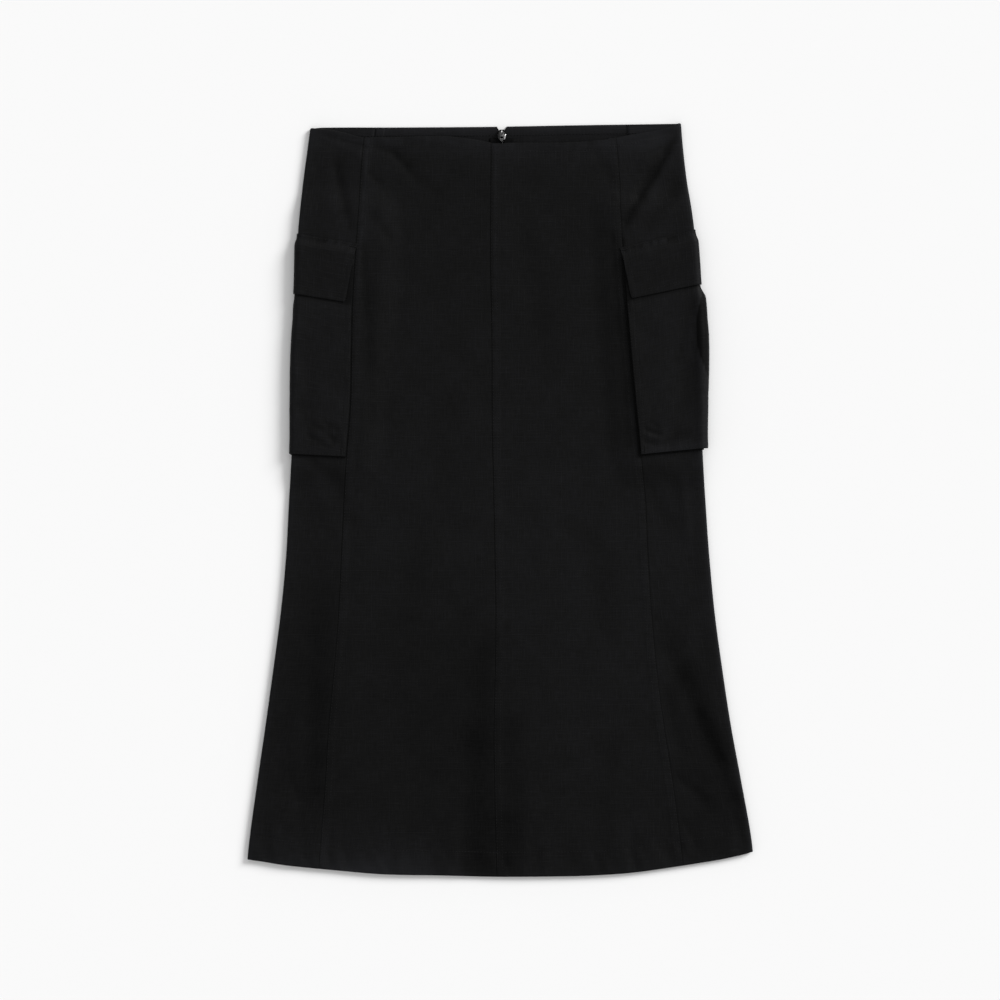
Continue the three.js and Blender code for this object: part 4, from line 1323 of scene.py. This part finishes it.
FLAP_CUT = {"left": (0.155, 0.080), "right": (0.155, 0.078)}
for side in (LEFT, RIGHT):
    width, length = FLAP_CUT[side.name]
    dress(
        pocket_flap(side), f"flap_{side.name}", (width, length), width * length,
        [f"pocket_{side.name}_cloth", f"side_{side.name}_cloth"],
    )

# %% [markdown]
# ## Gussets
# The gusset is the folded strip between the pocket's face and the skirt: down the front edge, along the
# bottom and up the back. It slopes from the skirt up under the face, with a soft fold in its middle.

# %% Fold the gussets
GUSSET_ACROSS = 7
GUSSET_FOLD = 0.5
GUSSET_ROUND = 560
GUSSET_SHOWN = 12
# Painted shade: the gusset is near black, as it lies in the shadow of the pocket's face
GUSSET_PAINTED_SHADE = -0.9


def gusset_stations(side):
    """The two edges of the strip, as turn and down, from the top of the front edge round to the back."""
    pocket = POCKETS[side.name]
    tucked = pocket.inset + GUSSET_TUCK

    def front_turn(down, inset):
        return front_edge_turn(side, down, inset)

    def back_turn(down, inset):
        return -QUARTER_TURN - (back_width(side, down) - FOLD_RADIUS - inset)

    front_end = pocket_bottom(pocket, front_turn(pocket.bottom, 0))
    back_end = pocket_bottom(pocket, back_turn(pocket.bottom, 0))
    back_top = flap_bottom(pocket, back_turn(pocket.flap_bottom, 0)) + POCKET_BELOW_FLAP_TOP
    first = flap_top(pocket, front_turn(pocket.bottom, 0)) + POCKET_BELOW_FLAP_TOP
    stations = []
    for down in np.linspace(first, front_end - 2 * GUSSET_TUCK, 70):
        stations.append((front_turn(down, pocket.gusset_inset), down, front_turn(down, tucked), down))
    for column in reversed(wrap_columns(3.0, POCKET_WIDTH)):
        outer = float(wrap_turn(side, column, front_end, pocket.gusset_inset, BACK_INSET - 1))
        inner = float(wrap_turn(side, column, front_end, tucked, BACK_INSET + GUSSET_TUCK))
        stations.append((
            outer, pocket_bottom(pocket, outer) + pocket.gusset_below,
            inner, pocket_bottom(pocket, inner) - GUSSET_TUCK,
        ))
    for down in np.linspace(back_end - 2 * GUSSET_TUCK, back_top, 24):
        stations.append((
            back_turn(down, BACK_INSET - 1), down, back_turn(down, BACK_INSET + GUSSET_TUCK), down,
        ))
    return np.array(stations, float)


def pocket_gusset(side):
    low_turn, low_down, high_turn, high_down = gusset_stations(side).T[:, :, None]
    part = np.linspace(0, 1, GUSSET_ACROSS)[None, :]
    raised = pocket_stand(side, high_turn, high_down) - POCKET_CLOTH - GUSSET_CLEAR
    turn = mix(low_turn, high_turn, part)
    down = mix(low_down, high_down, part)
    fold = -GUSSET_FOLD * np.sin(math.pi * part) * np.clip(raised - 0.6, 0, 1)
    stand = np.maximum(mix(2 * HALF_GAP, raised, part) + fold, 0.2 * part + 0.1)
    length = np.linspace(0, 1, turn.shape[0])[:, None] * GUSSET_ROUND
    return cloth_mesh(
        f"gusset_{side.name}_cloth",
        side_point(side, turn, down, stand + POCKET_CLOTH),
        side_point(side, turn, down, stand),
        np.stack(np.broadcast_arrays(length, GUSSET_SHOWN * part), -1),
        GUSSET_PAINTED_SHADE,
    )


GUSSET_CUT = (0.010, 0.55)
GUSSET_AREA = 0.0030
for side in (LEFT, RIGHT):
    dress(pocket_gusset(side), f"gusset_{side.name}", GUSSET_CUT, GUSSET_AREA, [f"side_{side.name}_cloth"])

# %% [markdown]
# ## Seam allowances
# Inside a skirt, each seam has the spare cloth beyond its stitches pressed to one side. It is what shows
# as a small step by the seams inside the back waist, and it closes the gap between two panels.

# %% Press the seam allowances
ALLOWANCE_WIDTH = 9
ALLOWANCE_CLOTH = 0.3
ALLOWANCE_OVERLAP = 1.2
ALLOWANCE_STEPS = 150
ALLOWANCE_INSET = 0.4
ON_BACK_GAP = 0.03
UNDER_FRONT_GAP = 0.12


def seam_allowance(name, seam, inward, level, waist, hem, start=0):
    """A strip along a seam, from a little beyond it to its width on the side that it is pressed to."""
    down = np.linspace(start, SKIRT_LENGTH, ALLOWANCE_STEPS)
    first = np.maximum(down, waist(seam(down)) + ALLOWANCE_INSET)
    down = np.minimum(first, hem(seam(down)) - ALLOWANCE_INSET)
    across = np.array([-ALLOWANCE_OVERLAP, 1, 4, 7, ALLOWANCE_WIDTH])[:, None]
    x = seam(down) + inward * across
    low = level(x, down)
    curl = 0.12 * wobble(down, 11, 91) * (across > 4)
    piece = cloth_mesh(
        name, place(x, down, low + ALLOWANCE_CLOTH + curl), place(x, down, low + curl),
        np.stack(np.broadcast_arrays(across, down), -1),
        back_waist_tone(down - waist(x)),
    )
    piece.data.materials.append(RIPSTOP)
    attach(piece, "skirt")
    print(piece.name, "rests", round(float(low.min()), 2), "mm above the table or more")


def on_back(x, down):
    at = row_of(x, down, back_waist, back_hem)
    return lift(x, down) + back_waist_cloth(at) + ON_BACK_GAP


def under_front(x, down):
    cloth = turned_cloth(row_of(x, down, front_waist, front_hem))
    return front_top(x, down, cloth) - cloth - ALLOWANCE_CLOTH - UNDER_FRONT_GAP


ZIP_FOOT = 184
HIDDEN_FROM = 26
for side in (LEFT, RIGHT):
    seam_allowance(
        f"allowance_back_{side.name}", lambda down: back_seam_x(side, down), side.inward,
        on_back, back_waist, back_hem, 0 if side is LEFT else HIDDEN_FROM,
    )
seam_allowance(
    "allowance_back_centre", lambda down: ZIP_X + 0 * down, 1, on_back, back_waist, back_hem, ZIP_FOOT,
)
for name, column, inward in (("left", LEFT_SEAM, 1), ("centre", CENTRE_SEAM, 1), ("right", RIGHT_SEAM, -1)):
    seam_allowance(
        f"allowance_front_{name}", seam_line(column), inward, under_front, front_waist, front_hem,
    )

# %% [markdown]
# ## Stitches
# A machine stitch is a short bead of thread that dives into the cloth at both ends. Thousands of them are
# laid along lines on the cloth, a little over three millimetres apart, and joined into one mesh for each
# kind of row.

# %% Lay stitches along a line
STITCH_PITCH = 3.3
STITCH_LENGTH = 2.1
STITCH_RADIUS = 0.26
STITCH_SIDES = 6
THREAD_BLACKS = ((0.004, 0.004, 0.0041), (0.0115, 0.0115, 0.012))
# Columns: share of the length, share of the radius, height over the line
STITCH_RINGS = [(-0.5, 0.45, -0.12), (0, 1, 0.1), (0.5, 0.45, -0.12)]
BEAD_FACES = [
    [ring * STITCH_SIDES + k, ring * STITCH_SIDES + (k + 1) % STITCH_SIDES,
     (ring + 1) * STITCH_SIDES + (k + 1) % STITCH_SIDES, (ring + 1) * STITCH_SIDES + k]
    for ring in range(2) for k in range(STITCH_SIDES)
] + [[3, 2, 1, 0], [5, 4, 3, 0], [12, 13, 14, 15], [12, 15, 16, 17]]


def unit(vectors):
    return vectors / np.linalg.norm(vectors, axis=-1, keepdims=True)


def lay_stitches(line, up, pitch=STITCH_PITCH, length=STITCH_LENGTH):
    """Start, end and upward direction of each stitch along a line of points."""
    walked = np.concatenate([[0], np.cumsum(np.linalg.norm(np.diff(line, axis=0), axis=1))])
    starts = np.arange(pitch / 2, walked[-1] - length, pitch)

    def at(values, distance):
        return np.stack([np.interp(distance, walked, values[:, axis]) for axis in range(3)], -1)

    up = np.broadcast_to(up, line.shape)
    return np.stack([at(line, starts), at(line, starts + length), at(up, starts)], 1)


def thread_mesh(name, stitches, thickness=STITCH_RADIUS):
    start, end, up = stitches[:, 0], stitches[:, 1], stitches[:, 2]
    run = end - start
    forward = unit(run)
    across = unit(np.cross(forward, up))
    above = np.cross(across, forward)
    turns = 2 * math.pi * np.arange(STITCH_SIDES) / STITCH_SIDES
    ring = np.cos(turns)[:, None] * across[:, None] + np.sin(turns)[:, None] * above[:, None]
    points = np.stack([
        ((start + end) / 2 + run * along_run + above * raised)[:, None] + ring * thickness * size
        for along_run, size, raised in STITCH_RINGS
    ], 1).reshape(-1, 3)
    beads = np.arange(len(stitches))[:, None, None] * len(STITCH_RINGS) * STITCH_SIDES
    faces = (beads + np.array(BEAD_FACES)[None]).reshape(-1, 4)
    flat = np.zeros((len(points), 2))
    piece = faces_to_object(name, points * MM, faces[:, ::-1], flat, np.zeros(len(points)))
    piece.data.materials.append(THREAD)
    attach(piece, "skirt")
    print(name, "has", len(stitches), "stitches")
    return piece


def thread_finish():
    finish = new_finish("black_thread")
    tree = finish.tree
    where = add_node(tree, "TexCoord").outputs["Object"]
    twist = noise(tree, where, 2600.0, 2.0)
    set_inputs(tree, finish.surface, {
        "Base Color": blend(tree, twist, *THREAD_BLACKS),
        "Normal": bumped(tree, twist, 0.5, 0.05),
        "Roughness": 0.42,
        "Specular IOR Level": 0.08,
    })
    return finish.material


THREAD = thread_finish()

# %% Topstitch the seams, the waist and the hem
ROW_POINT_STEP = 0.8
ROW_END = 2.5
ROW_FROM_FOLD = 7
BACK_ROW_FROM_FOLD = 9
BACK_ROW_FROM_ZIP = 9


def front_surface(x, down):
    at = row_of(x, down, front_waist, front_hem)
    return place(x, down, front_top(x, down, turned_cloth(at)) + front_sewing(x, down))


seam_stitches = []
for column, inward in ((LEFT_SEAM, 1), (CENTRE_SEAM, 1), (RIGHT_SEAM, -1)):
    middle = float(along(SECTIONS, SKIRT_LENGTH / 2, column))
    first, last = float(front_waist(middle)) + ROW_END, float(front_hem(middle)) - 2 * ROW_END
    down = np.arange(first, last, ROW_POINT_STEP)
    for row in SEAM_ROWS:
        x = along(SECTIONS, down, column) + inward * row
        seam_stitches.append(lay_stitches(front_surface(x, down), (0, 0, 1)))
thread_mesh("stitches_seams", np.concatenate(seam_stitches))

edge_stitches = []
for edge, row, near in ((front_waist, WAIST_ROW, 0), (front_hem, -HEM_ROW, SKIRT_LENGTH)):
    first, last = fold_x(LEFT, near) + ROW_FROM_FOLD, fold_x(RIGHT, near) - ROW_FROM_FOLD
    x = np.arange(first, last, ROW_POINT_STEP)
    edge_stitches.append(lay_stitches(front_surface(x, edge(x) + row), (0, 0, 1)))
first, last = fold_x(LEFT, 0) + BACK_ROW_FROM_FOLD, fold_x(RIGHT, 0) - BACK_ROW_FROM_FOLD
x = np.arange(first, last, ROW_POINT_STEP)
x = x[np.abs(x - ZIP_X) > BACK_ROW_FROM_ZIP]
down = back_waist(x) + WAIST_ROW
inside = place(x, down, lift(x, down) + WAIST_CLOTH + back_turn_relief(x, down) + 0.1)
edge_stitches.append(lay_stitches(inside, (0, 0, 1)))
thread_mesh("stitches_edges", np.concatenate(edge_stitches))

# %% Stitch the pockets and flaps
TACK_LENGTH = 7.5
TACK_WIDTH = 1.7
TACK_STEP = 0.55
TACK_PROUD = 0.12


def pocket_surface(side, turn, down, above=0.0):
    relief = pocket_relief(side)(turn, down) * on_front(turn)
    return side_point(side, turn, down, pocket_stand(side, turn, down) + POCKET_CLOTH + relief + above)


def flap_surface(side, turn, down, above=0.0):
    relief = flap_relief(side)(turn, down) * on_front(turn)
    return side_point(side, turn, down, flap_stand(side, turn, down) + POCKET_CLOTH + relief + above)


def row_on(surface, side, turn, down, **spacing):
    turn, down = np.broadcast_arrays(np.asarray(turn, float), np.asarray(down, float))
    line = surface(side, turn, down)
    return lay_stitches(line, unit(surface(side, turn, down, 1.0) - line), **spacing)


def bar_tack(surface, side, turn, down, turn_run, down_run):
    """A dense zigzag at the end of a seam, as short stitches side by side."""
    run = np.hypot(turn_run, down_run)
    count = int(TACK_LENGTH / TACK_STEP)
    tack = []
    for along_tack in (np.arange(count) - count / 2) * TACK_STEP:
        half = np.array([-0.5, 0, 0.5]) * TACK_WIDTH
        line_turn = turn + (along_tack * turn_run - half * down_run) / run
        line_down = down + (along_tack * down_run + half * turn_run) / run
        line = surface(side, line_turn, line_down, TACK_PROUD)
        up = unit(surface(side, line_turn, line_down, 1.0) - line)
        tack.append(np.stack([line[0], line[2], up[1]]))
    return np.array(tack)


def edge_at(side, down, inset, row):
    return front_edge_turn(side, down, inset) - row


pocket_stitches = []
for side in (LEFT, RIGHT):
    pocket = POCKETS[side.name]
    last = float(pocket_bottom(pocket, front_edge_turn(side, pocket.bottom, pocket.inset)))
    first = float(flap_bottom(pocket, front_edge_turn(side, pocket.flap_bottom, pocket.inset)))
    down = np.arange(first + 3, last - 2, ROW_POINT_STEP)
    for row in POCKET_ROWS:
        pocket_stitches.append(row_on(pocket_surface, side, edge_at(side, down, pocket.inset, row), down))
    turn = np.arange(-2, edge_at(side, last, pocket.inset, 2), ROW_POINT_STEP)
    down = pocket_bottom(pocket, turn) - POCKET_BOTTOM_ROW
    pocket_stitches.append(row_on(pocket_surface, side, turn, down))
    top_down = float(flap_top(pocket, front_edge_turn(side, pocket.flap_top, 0)))
    turn = np.arange(-2, edge_at(side, top_down, pocket.flap_inset, 1.5), ROW_POINT_STEP)
    for row in FLAP_TOP_ROWS:
        pocket_stitches.append(row_on(flap_surface, side, turn, flap_top(pocket, turn) + row))
    down = np.arange(top_down + 8, first - 6, ROW_POINT_STEP)
    share = (down - top_down) / (first - top_down)
    inset = mix(pocket.flap_inset, pocket.flap_inset_below, share)
    pocket_stitches.append(row_on(flap_surface, side, edge_at(side, down, inset, FLAP_EDGE_ROW), down))
    turn = np.arange(-2, edge_at(side, first, pocket.flap_inset_below, 7), ROW_POINT_STEP)
    pocket_stitches.append(row_on(flap_surface, side, turn, flap_bottom(pocket, turn) - FLAP_EDGE_ROW))
    tacked = edge_at(side, top_down, pocket.flap_inset, 5)
    pocket_stitches.append(bar_tack(flap_surface, side, tacked, top_down + 3, 1, pocket.flap_top_slope))
    tacked = edge_at(side, last, pocket.inset, 4)
    pocket_stitches.append(bar_tack(pocket_surface, side, tacked, last - 5, 0.1, 1))
thread_mesh("stitches_pockets", np.concatenate(pocket_stitches))

# %% [markdown]
# ## The zip
# A concealed zip has knitted tapes, a closed coil of nylon below its slider, and a small plated slider
# whose pull tab hangs on a bridge. The tapes get fine ribs and the coil is two wound filaments. The metal
# is brushed and a little dull. Its dark plating is worn on the tab. The bridge and one edge of the slider
# are a pale copy of the metal, a painted highlight.

# %% Knit the tapes and wind the coil
TAPE_TOP = 16.2
TAPE_WIDTH = 13
TAPE_CLOTH = 1
TAPE_BASE = 1.5
TAPE_RIB = 1.1
TAPE_RIB_HEIGHT = 0.07
TAPE_KNIT = 0.8
TAPE_BEYOND_COIL = 4
TAPE_ROWS = 90
TAPE_COLUMNS = 14
TAPE_EDGE_LENGTH = 12
TAPE_EDGE_RADIUS = 0.6
TAPE_BLACKS = ((0.0008, 0.0008, 0.0009), (0.003, 0.003, 0.0032))
COIL_BASE = 2.8
COIL_HEIGHT = 1.1
COIL_PITCH = 1.25
COIL_MIDDLE = 0.65
COIL_REACH = 0.95
COIL_RISE = 0.32
COIL_WIRE = 0.2
COIL_FROM = 18.8
ZIP_LENGTH = 178
COIL_POINTS = 10


def tape_finish():
    finish = new_finish("knitted_tape")
    tree = finish.tree
    flat = add_node(tree, "UVMap", uv_map="pattern").outputs["UV"]
    split = add_node(tree, "SeparateXYZ", {0: flat})
    ribs = waves(tree, split.outputs["X"], TAPE_RIB * MM)
    knit = waves(tree, split.outputs["Y"], TAPE_KNIT * MM)
    fuzz = noise(tree, flat, 1400.0, 3.0)
    height = calculate(tree, "MULTIPLY_ADD", knit, 0.4, calculate(tree, "MULTIPLY_ADD", fuzz, 0.6, ribs))
    set_inputs(tree, finish.surface, {
        "Base Color": blend(tree, fuzz, *TAPE_BLACKS),
        "Normal": bumped(tree, height, 0.6, 0.08),
        "Roughness": 0.7,
        "Specular IOR Level": 0.05,
    })
    return finish.material


TAPE = tape_finish()
UP_FROM_THREAD = (0.0, 0.3, 1.0)


def zip_tape(name, inward):
    down = np.linspace(TAPE_TOP, ZIP_LENGTH + TAPE_BEYOND_COIL, TAPE_ROWS)[None, :]
    part = np.linspace(0, 1, TAPE_COLUMNS)[:, None]
    away = mix(notch_half(down) + 2 * HALF_GAP, TAPE_WIDTH, part)
    x = ZIP_X + inward * away
    ribbed = TAPE_RIB_HEIGHT * np.sin(2 * math.pi * away / TAPE_RIB)
    less = round_edge(part * TAPE_EDGE_LENGTH, TAPE_EDGE_LENGTH, TAPE_EDGE_RADIUS)
    tape = cloth_mesh(
        name, place(x, down, TAPE_BASE + TAPE_CLOTH - less + ribbed), place(x, down, TAPE_BASE + less),
        np.stack(np.broadcast_arrays(away, down), -1), 0.0,
    )
    tape.data.materials.append(TAPE)
    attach(tape, "skirt")
    return tape


def tube(line, radius, sides=6):
    """Points and faces of a round thread, or a bar, through a line of points, in mm."""
    forward = unit(np.gradient(line, axis=0))
    across = unit(np.cross(forward, UP_FROM_THREAD))
    above = np.cross(across, forward)
    turns = 2 * math.pi * np.arange(sides) / sides
    ring = np.cos(turns)[:, None] * across[:, None] + np.sin(turns)[:, None] * above[:, None]
    points = (line[:, None] + radius * ring).reshape(-1, 3)
    start = np.arange(len(line) - 1)[:, None] * sides
    corner = np.arange(sides)[None, :]
    after = (corner + 1) % sides
    quads = np.stack([start + corner, start + after, start + sides + after, start + sides + corner], -1)
    cap = np.array([[0, first, first + 1, first + 2] for first in range(1, sides - 2, 2)])
    last = (len(line) - 1) * sides
    return points, np.concatenate([quads.reshape(-1, 4)[:, ::-1], cap, cap[:, ::-1] + last])


def wound_coil():
    points, faces = [], []
    turns = (ZIP_LENGTH - COIL_FROM) / COIL_PITCH
    angle = np.linspace(0, turns * 2 * math.pi, int(turns * COIL_POINTS))
    for inward in (-1, 1):
        x = ZIP_X + inward * (COIL_MIDDLE + COIL_REACH * np.cos(angle))
        down = COIL_FROM + angle / (2 * math.pi) * COIL_PITCH + (0.5 * COIL_PITCH if inward > 0 else 0)
        z = COIL_BASE + COIL_HEIGHT / 2 + COIL_RISE * np.sin(angle)
        more, quads = tube(place(x, np.minimum(down, ZIP_LENGTH), z), COIL_WIRE)
        faces.append(quads + sum(len(each) for each in points))
        points.append(more)
    points = np.concatenate(points)
    coil = faces_to_object(
        "zip_coil_wound", points * MM, np.concatenate(faces), points[:, :2] * MM, np.zeros(len(points)),
    )
    coil.data.materials.append(TAPE)
    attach(coil, "skirt")
    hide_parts("zip_coil")
    print("the coil has", int(2 * turns), "turns")


for name, inward in (("left", -1), ("right", 1)):
    tape = zip_tape(f"zip_tape_{name}_knitted", inward)
    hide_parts(f"zip_tape_{name}")
wound_coil()

# %% Plate the slider and its tab


def plated_metal(name, deep, pale):
    finish = new_finish(name)
    tree = finish.tree
    where = add_node(tree, "TexCoord").outputs["Object"]
    drawn = add_node(tree, "Mapping", {"Vector": where, "Scale": (2600.0, 260.0, 2600.0)})
    brushed = noise(tree, drawn.outputs["Vector"], 1.0, 3.0)
    dull = soft_step(tree, noise(tree, where, 420.0, 3.0), 0.35, 0.65)
    set_inputs(tree, finish.surface, {
        "Base Color": blend(tree, dull, (deep, deep, deep), (pale, pale, pale)),
        "Roughness": soft_step(tree, brushed, 0.25, 0.75, 0.2, 0.38),
        "Normal": bumped(tree, brushed, 0.25, 0.03),
        "Metallic": 1.0,
    })
    return finish.material


METAL = plated_metal("plated_zinc", 0.02, 0.05)
HIGHLIGHT_METAL = plated_metal("zinc_painted_highlight", 0.85, 0.97)
TAB_METAL = plated_metal("rubbed_zinc", 0.1, 0.26)
print("made", METAL.name, HIGHLIGHT_METAL.name, "and", TAB_METAL.name)

# %% Cast the slider and stamp the tab
SLIDER_BASE = 2.8
SLIDER_TOP = 7.3
SLIDER_LENGTH = 11
SLIDER_NOSE = 8.5
SLIDER_TAIL = 7
SLIDER_CORNER = 2
SLIDER_WIDEST = 4.5
# Columns: bottom and top over the slider's base
UPPER_LEVELS = (0.75, 2.2)
LOWER_LEVELS = (0, 0.7)
DIVIDER_LEVELS = (0.6, 1.35)
COIL_SHOWN_LEVELS = (0.72, 1)
BRIDGE_HALF = 1.5
BRIDGE_FOOT = 2.1
BRIDGE_HEIGHT = 1.45
BRIDGE_RADIUS = 0.42
FLANGE_RADIUS = 0.75
# Columns: distance from the middle, distance below the slider's top, height over its base
FLANGE_RUN = [(3.75, 4.8, 1.5), (3.6, 5.8, 1.75), (3.1, 9, 1.75), (2.95, 10.2, 1.5)]
TAB_TOP = 4.8
TAB_END = 4.2
TAB_LENGTH = 9.1
TAB_ABOVE_HINGE = 0.4
TAB_THICK = 0.7
TAB_LEVEL = 5.3
HINGE_DOWN = 10
# Columns: half width at the top, half width at the end, top and end below the hinge
PIN_HOLE = (1.75, 1.7, 4.5, 6.9)
COIL_SHOWN = (2, 2, 4.3, 7.1)
TAB_WINDOW = (1.1, 1.1, 0.35, 2.5)
TAB_SLOT = (1.5, 1.5, 4.8, 6.6)
# The same, below the slider's top
DIVIDER = (1.4, 0.5, 0.8, 4)


def rounded_loop(points, radius, steps=5):
    """A closed outline with round corners, from its corner points in order."""
    corners = np.array(points, float)
    loop = []
    for index, corner in enumerate(corners):
        before = unit(corners[index - 1] - corner)
        after = unit(corners[(index + 1) % len(corners)] - corner)
        for part in np.linspace(0, 1, steps):
            loop.append(corner + radius * (before * (1 - part) ** 2 + after * part**2))
    return loop


def stamped_plate(name, loops, bottom, top, shoulder, metal, rounds=4):
    """A metal plate with holes: the first loop is its outline, and a shoulder runs along each edge."""
    straight = 0.35 * shoulder
    curve = bpy.data.curves.new(name, "CURVE")
    curve.dimensions = "2D"
    curve.fill_mode = "BOTH"
    curve.bevel_depth = shoulder
    curve.bevel_resolution = rounds
    curve.offset = -shoulder
    curve.extrude = straight
    for loop in loops:
        spline = curve.splines.new("POLY")
        spline.points.add(len(loop) - 1)
        for point, (x, down) in zip(spline.points, loop):
            point.co = (x - MIDDLE_X, MIDDLE_DOWN - down, 0, 1)
        spline.use_cyclic_u = True
    pattern = bpy.data.objects.new(name, curve)
    mesh = bpy.data.meshes.new_from_object(pattern)
    bpy.data.objects.remove(pattern)
    whole = bmesh.new()
    whole.from_mesh(mesh)
    bmesh.ops.remove_doubles(whole, verts=whole.verts, dist=0.002)
    bmesh.ops.recalc_face_normals(whole, faces=whole.faces)
    flatten = (top - bottom) / (2 * (straight + shoulder))
    middle = (top + bottom) / 2
    for vertex in whole.verts:
        vertex.co = (vertex.co.x * MM, vertex.co.y * MM, (vertex.co.z * flatten + middle) * MM)
    for face in whole.faces:
        face.smooth = rounds > 0 and abs(face.normal.z) < 0.99
    whole.to_mesh(mesh)
    whole.free()
    thing = bpy.data.objects.new(name, mesh)
    scene.collection.objects.link(thing)
    mesh.materials.clear()
    mesh.materials.append(metal)
    return thing


def shield_loop(inset=0.0):
    """The slider's outline from above: two corners cut off its nose, widest below them, then a taper."""
    half_nose, half_tail = SLIDER_NOSE / 2 - inset, SLIDER_TAIL / 2 - inset
    top, tail = SLIDER_TOP + inset, SLIDER_TOP + SLIDER_LENGTH - inset
    half = [
        (half_nose - SLIDER_CORNER, top), (half_nose, top + SLIDER_CORNER),
        (half_nose, top + SLIDER_WIDEST), (half_tail, tail),
    ]
    left = [(ZIP_X - away, down) for away, down in half]
    right = [(ZIP_X + away, down) for away, down in half[::-1]]
    return left + right


def box_loop(half_top, half_end, first, last, start=HINGE_DOWN):
    first, last = start + first, start + last
    return [
        (ZIP_X - half_top, first), (ZIP_X - half_end, last), (ZIP_X + half_end, last),
        (ZIP_X + half_top, first),
    ]


def over_base(levels):
    return [SLIDER_BASE + level for level in levels]


def joined(pieces, name):
    """One piece from several, each part keeping its own finish."""
    base = pieces[0]
    base.name = name
    finishes = [METAL, HIGHLIGHT_METAL, TAPE]
    whole = bmesh.new()
    for piece in pieces:
        start = len(whole.faces)
        whole.from_mesh(piece.data)
        whole.faces.ensure_lookup_table()
        for face in whole.faces[start:]:
            face.material_index = finishes.index(piece.data.materials[0])
    base.data.materials.clear()
    for finish in finishes:
        base.data.materials.append(finish)
    whole.to_mesh(base.data)
    whole.free()
    for piece in pieces[1:]:
        bpy.data.objects.remove(piece)
    return base


def metal_bar(name, points, radius, metal, sides=10):
    """A round metal bar through points (x, down, z)."""
    line = np.array([(x - MIDDLE_X, MIDDLE_DOWN - down, z) for x, down, z in points], float)
    spots, quads = tube(line, radius, sides)
    bar = faces_to_object(name, spots * MM, quads, spots[:, :2] * MM, np.zeros(len(spots)))
    bar.data.materials.append(metal)
    return bar


bridge_level = SLIDER_BASE + BRIDGE_FOOT
arch = [
    (ZIP_X, HINGE_DOWN + BRIDGE_HALF * math.cos(turn), bridge_level + BRIDGE_HEIGHT * math.sin(turn))
    for turn in np.linspace(math.pi, 0, 13)
]
upper = stamped_plate(
    "slider_upper", [rounded_loop(shield_loop(), 0.9), rounded_loop(box_loop(*PIN_HOLE), 0.3)],
    *over_base(UPPER_LEVELS), 1.15, METAL, 1,
)
lower = stamped_plate(
    "slider_lower", [rounded_loop(shield_loop(0.1), 0.9)], *over_base(LOWER_LEVELS), 0.3, METAL,
)
divider = stamped_plate(
    "slider_divider", [rounded_loop(box_loop(*DIVIDER, start=SLIDER_TOP), 0.3)],
    *over_base(DIVIDER_LEVELS), 0.15, METAL,
)
# The bridge and the right flange get the pale metal: painted highlights where the light from the upper
# right catches them
bridge = metal_bar("slider_bridge", arch, BRIDGE_RADIUS, HIGHLIGHT_METAL)
flanges = []
for outward, metal in ((-1, METAL), (1, HIGHLIGHT_METAL)):
    run = [
        (ZIP_X + outward * away, SLIDER_TOP + below, SLIDER_BASE + raised)
        for away, below, raised in FLANGE_RUN
    ]
    flanges.append(metal_bar("slider_flange", run, FLANGE_RADIUS, metal))
coil_end = stamped_plate(
    "coil_in_slider", [box_loop(*COIL_SHOWN)], *over_base(COIL_SHOWN_LEVELS), 0.05, TAPE,
)
slider = joined([upper, lower, divider, bridge, *flanges, coil_end], "zip_slider_cast")
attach(slider, "skirt")
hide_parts("zip_slider")

tab_outline = box_loop(TAB_TOP / 2, TAB_END / 2, -TAB_ABOVE_HINGE, TAB_LENGTH - TAB_ABOVE_HINGE)
tab_holes = [rounded_loop(box_loop(*hole), 0.4) for hole in (TAB_WINDOW, TAB_SLOT)]
tab = stamped_plate(
    "pull_tab_stamped", [rounded_loop(tab_outline, 1.0), *tab_holes],
    TAB_LEVEL, TAB_LEVEL + TAB_THICK, 0.3, TAB_METAL,
)
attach(tab, "pull_tab")
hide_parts("pull_tab")
print("slider and tab have", len(slider.data.polygons), "and", len(tab.data.polygons), "faces")

# %% Measure and finish
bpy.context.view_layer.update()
faces_made = sum(len(thing.data.polygons) for thing in scene.objects if thing.type == "MESH")
print(faces_made, "faces")
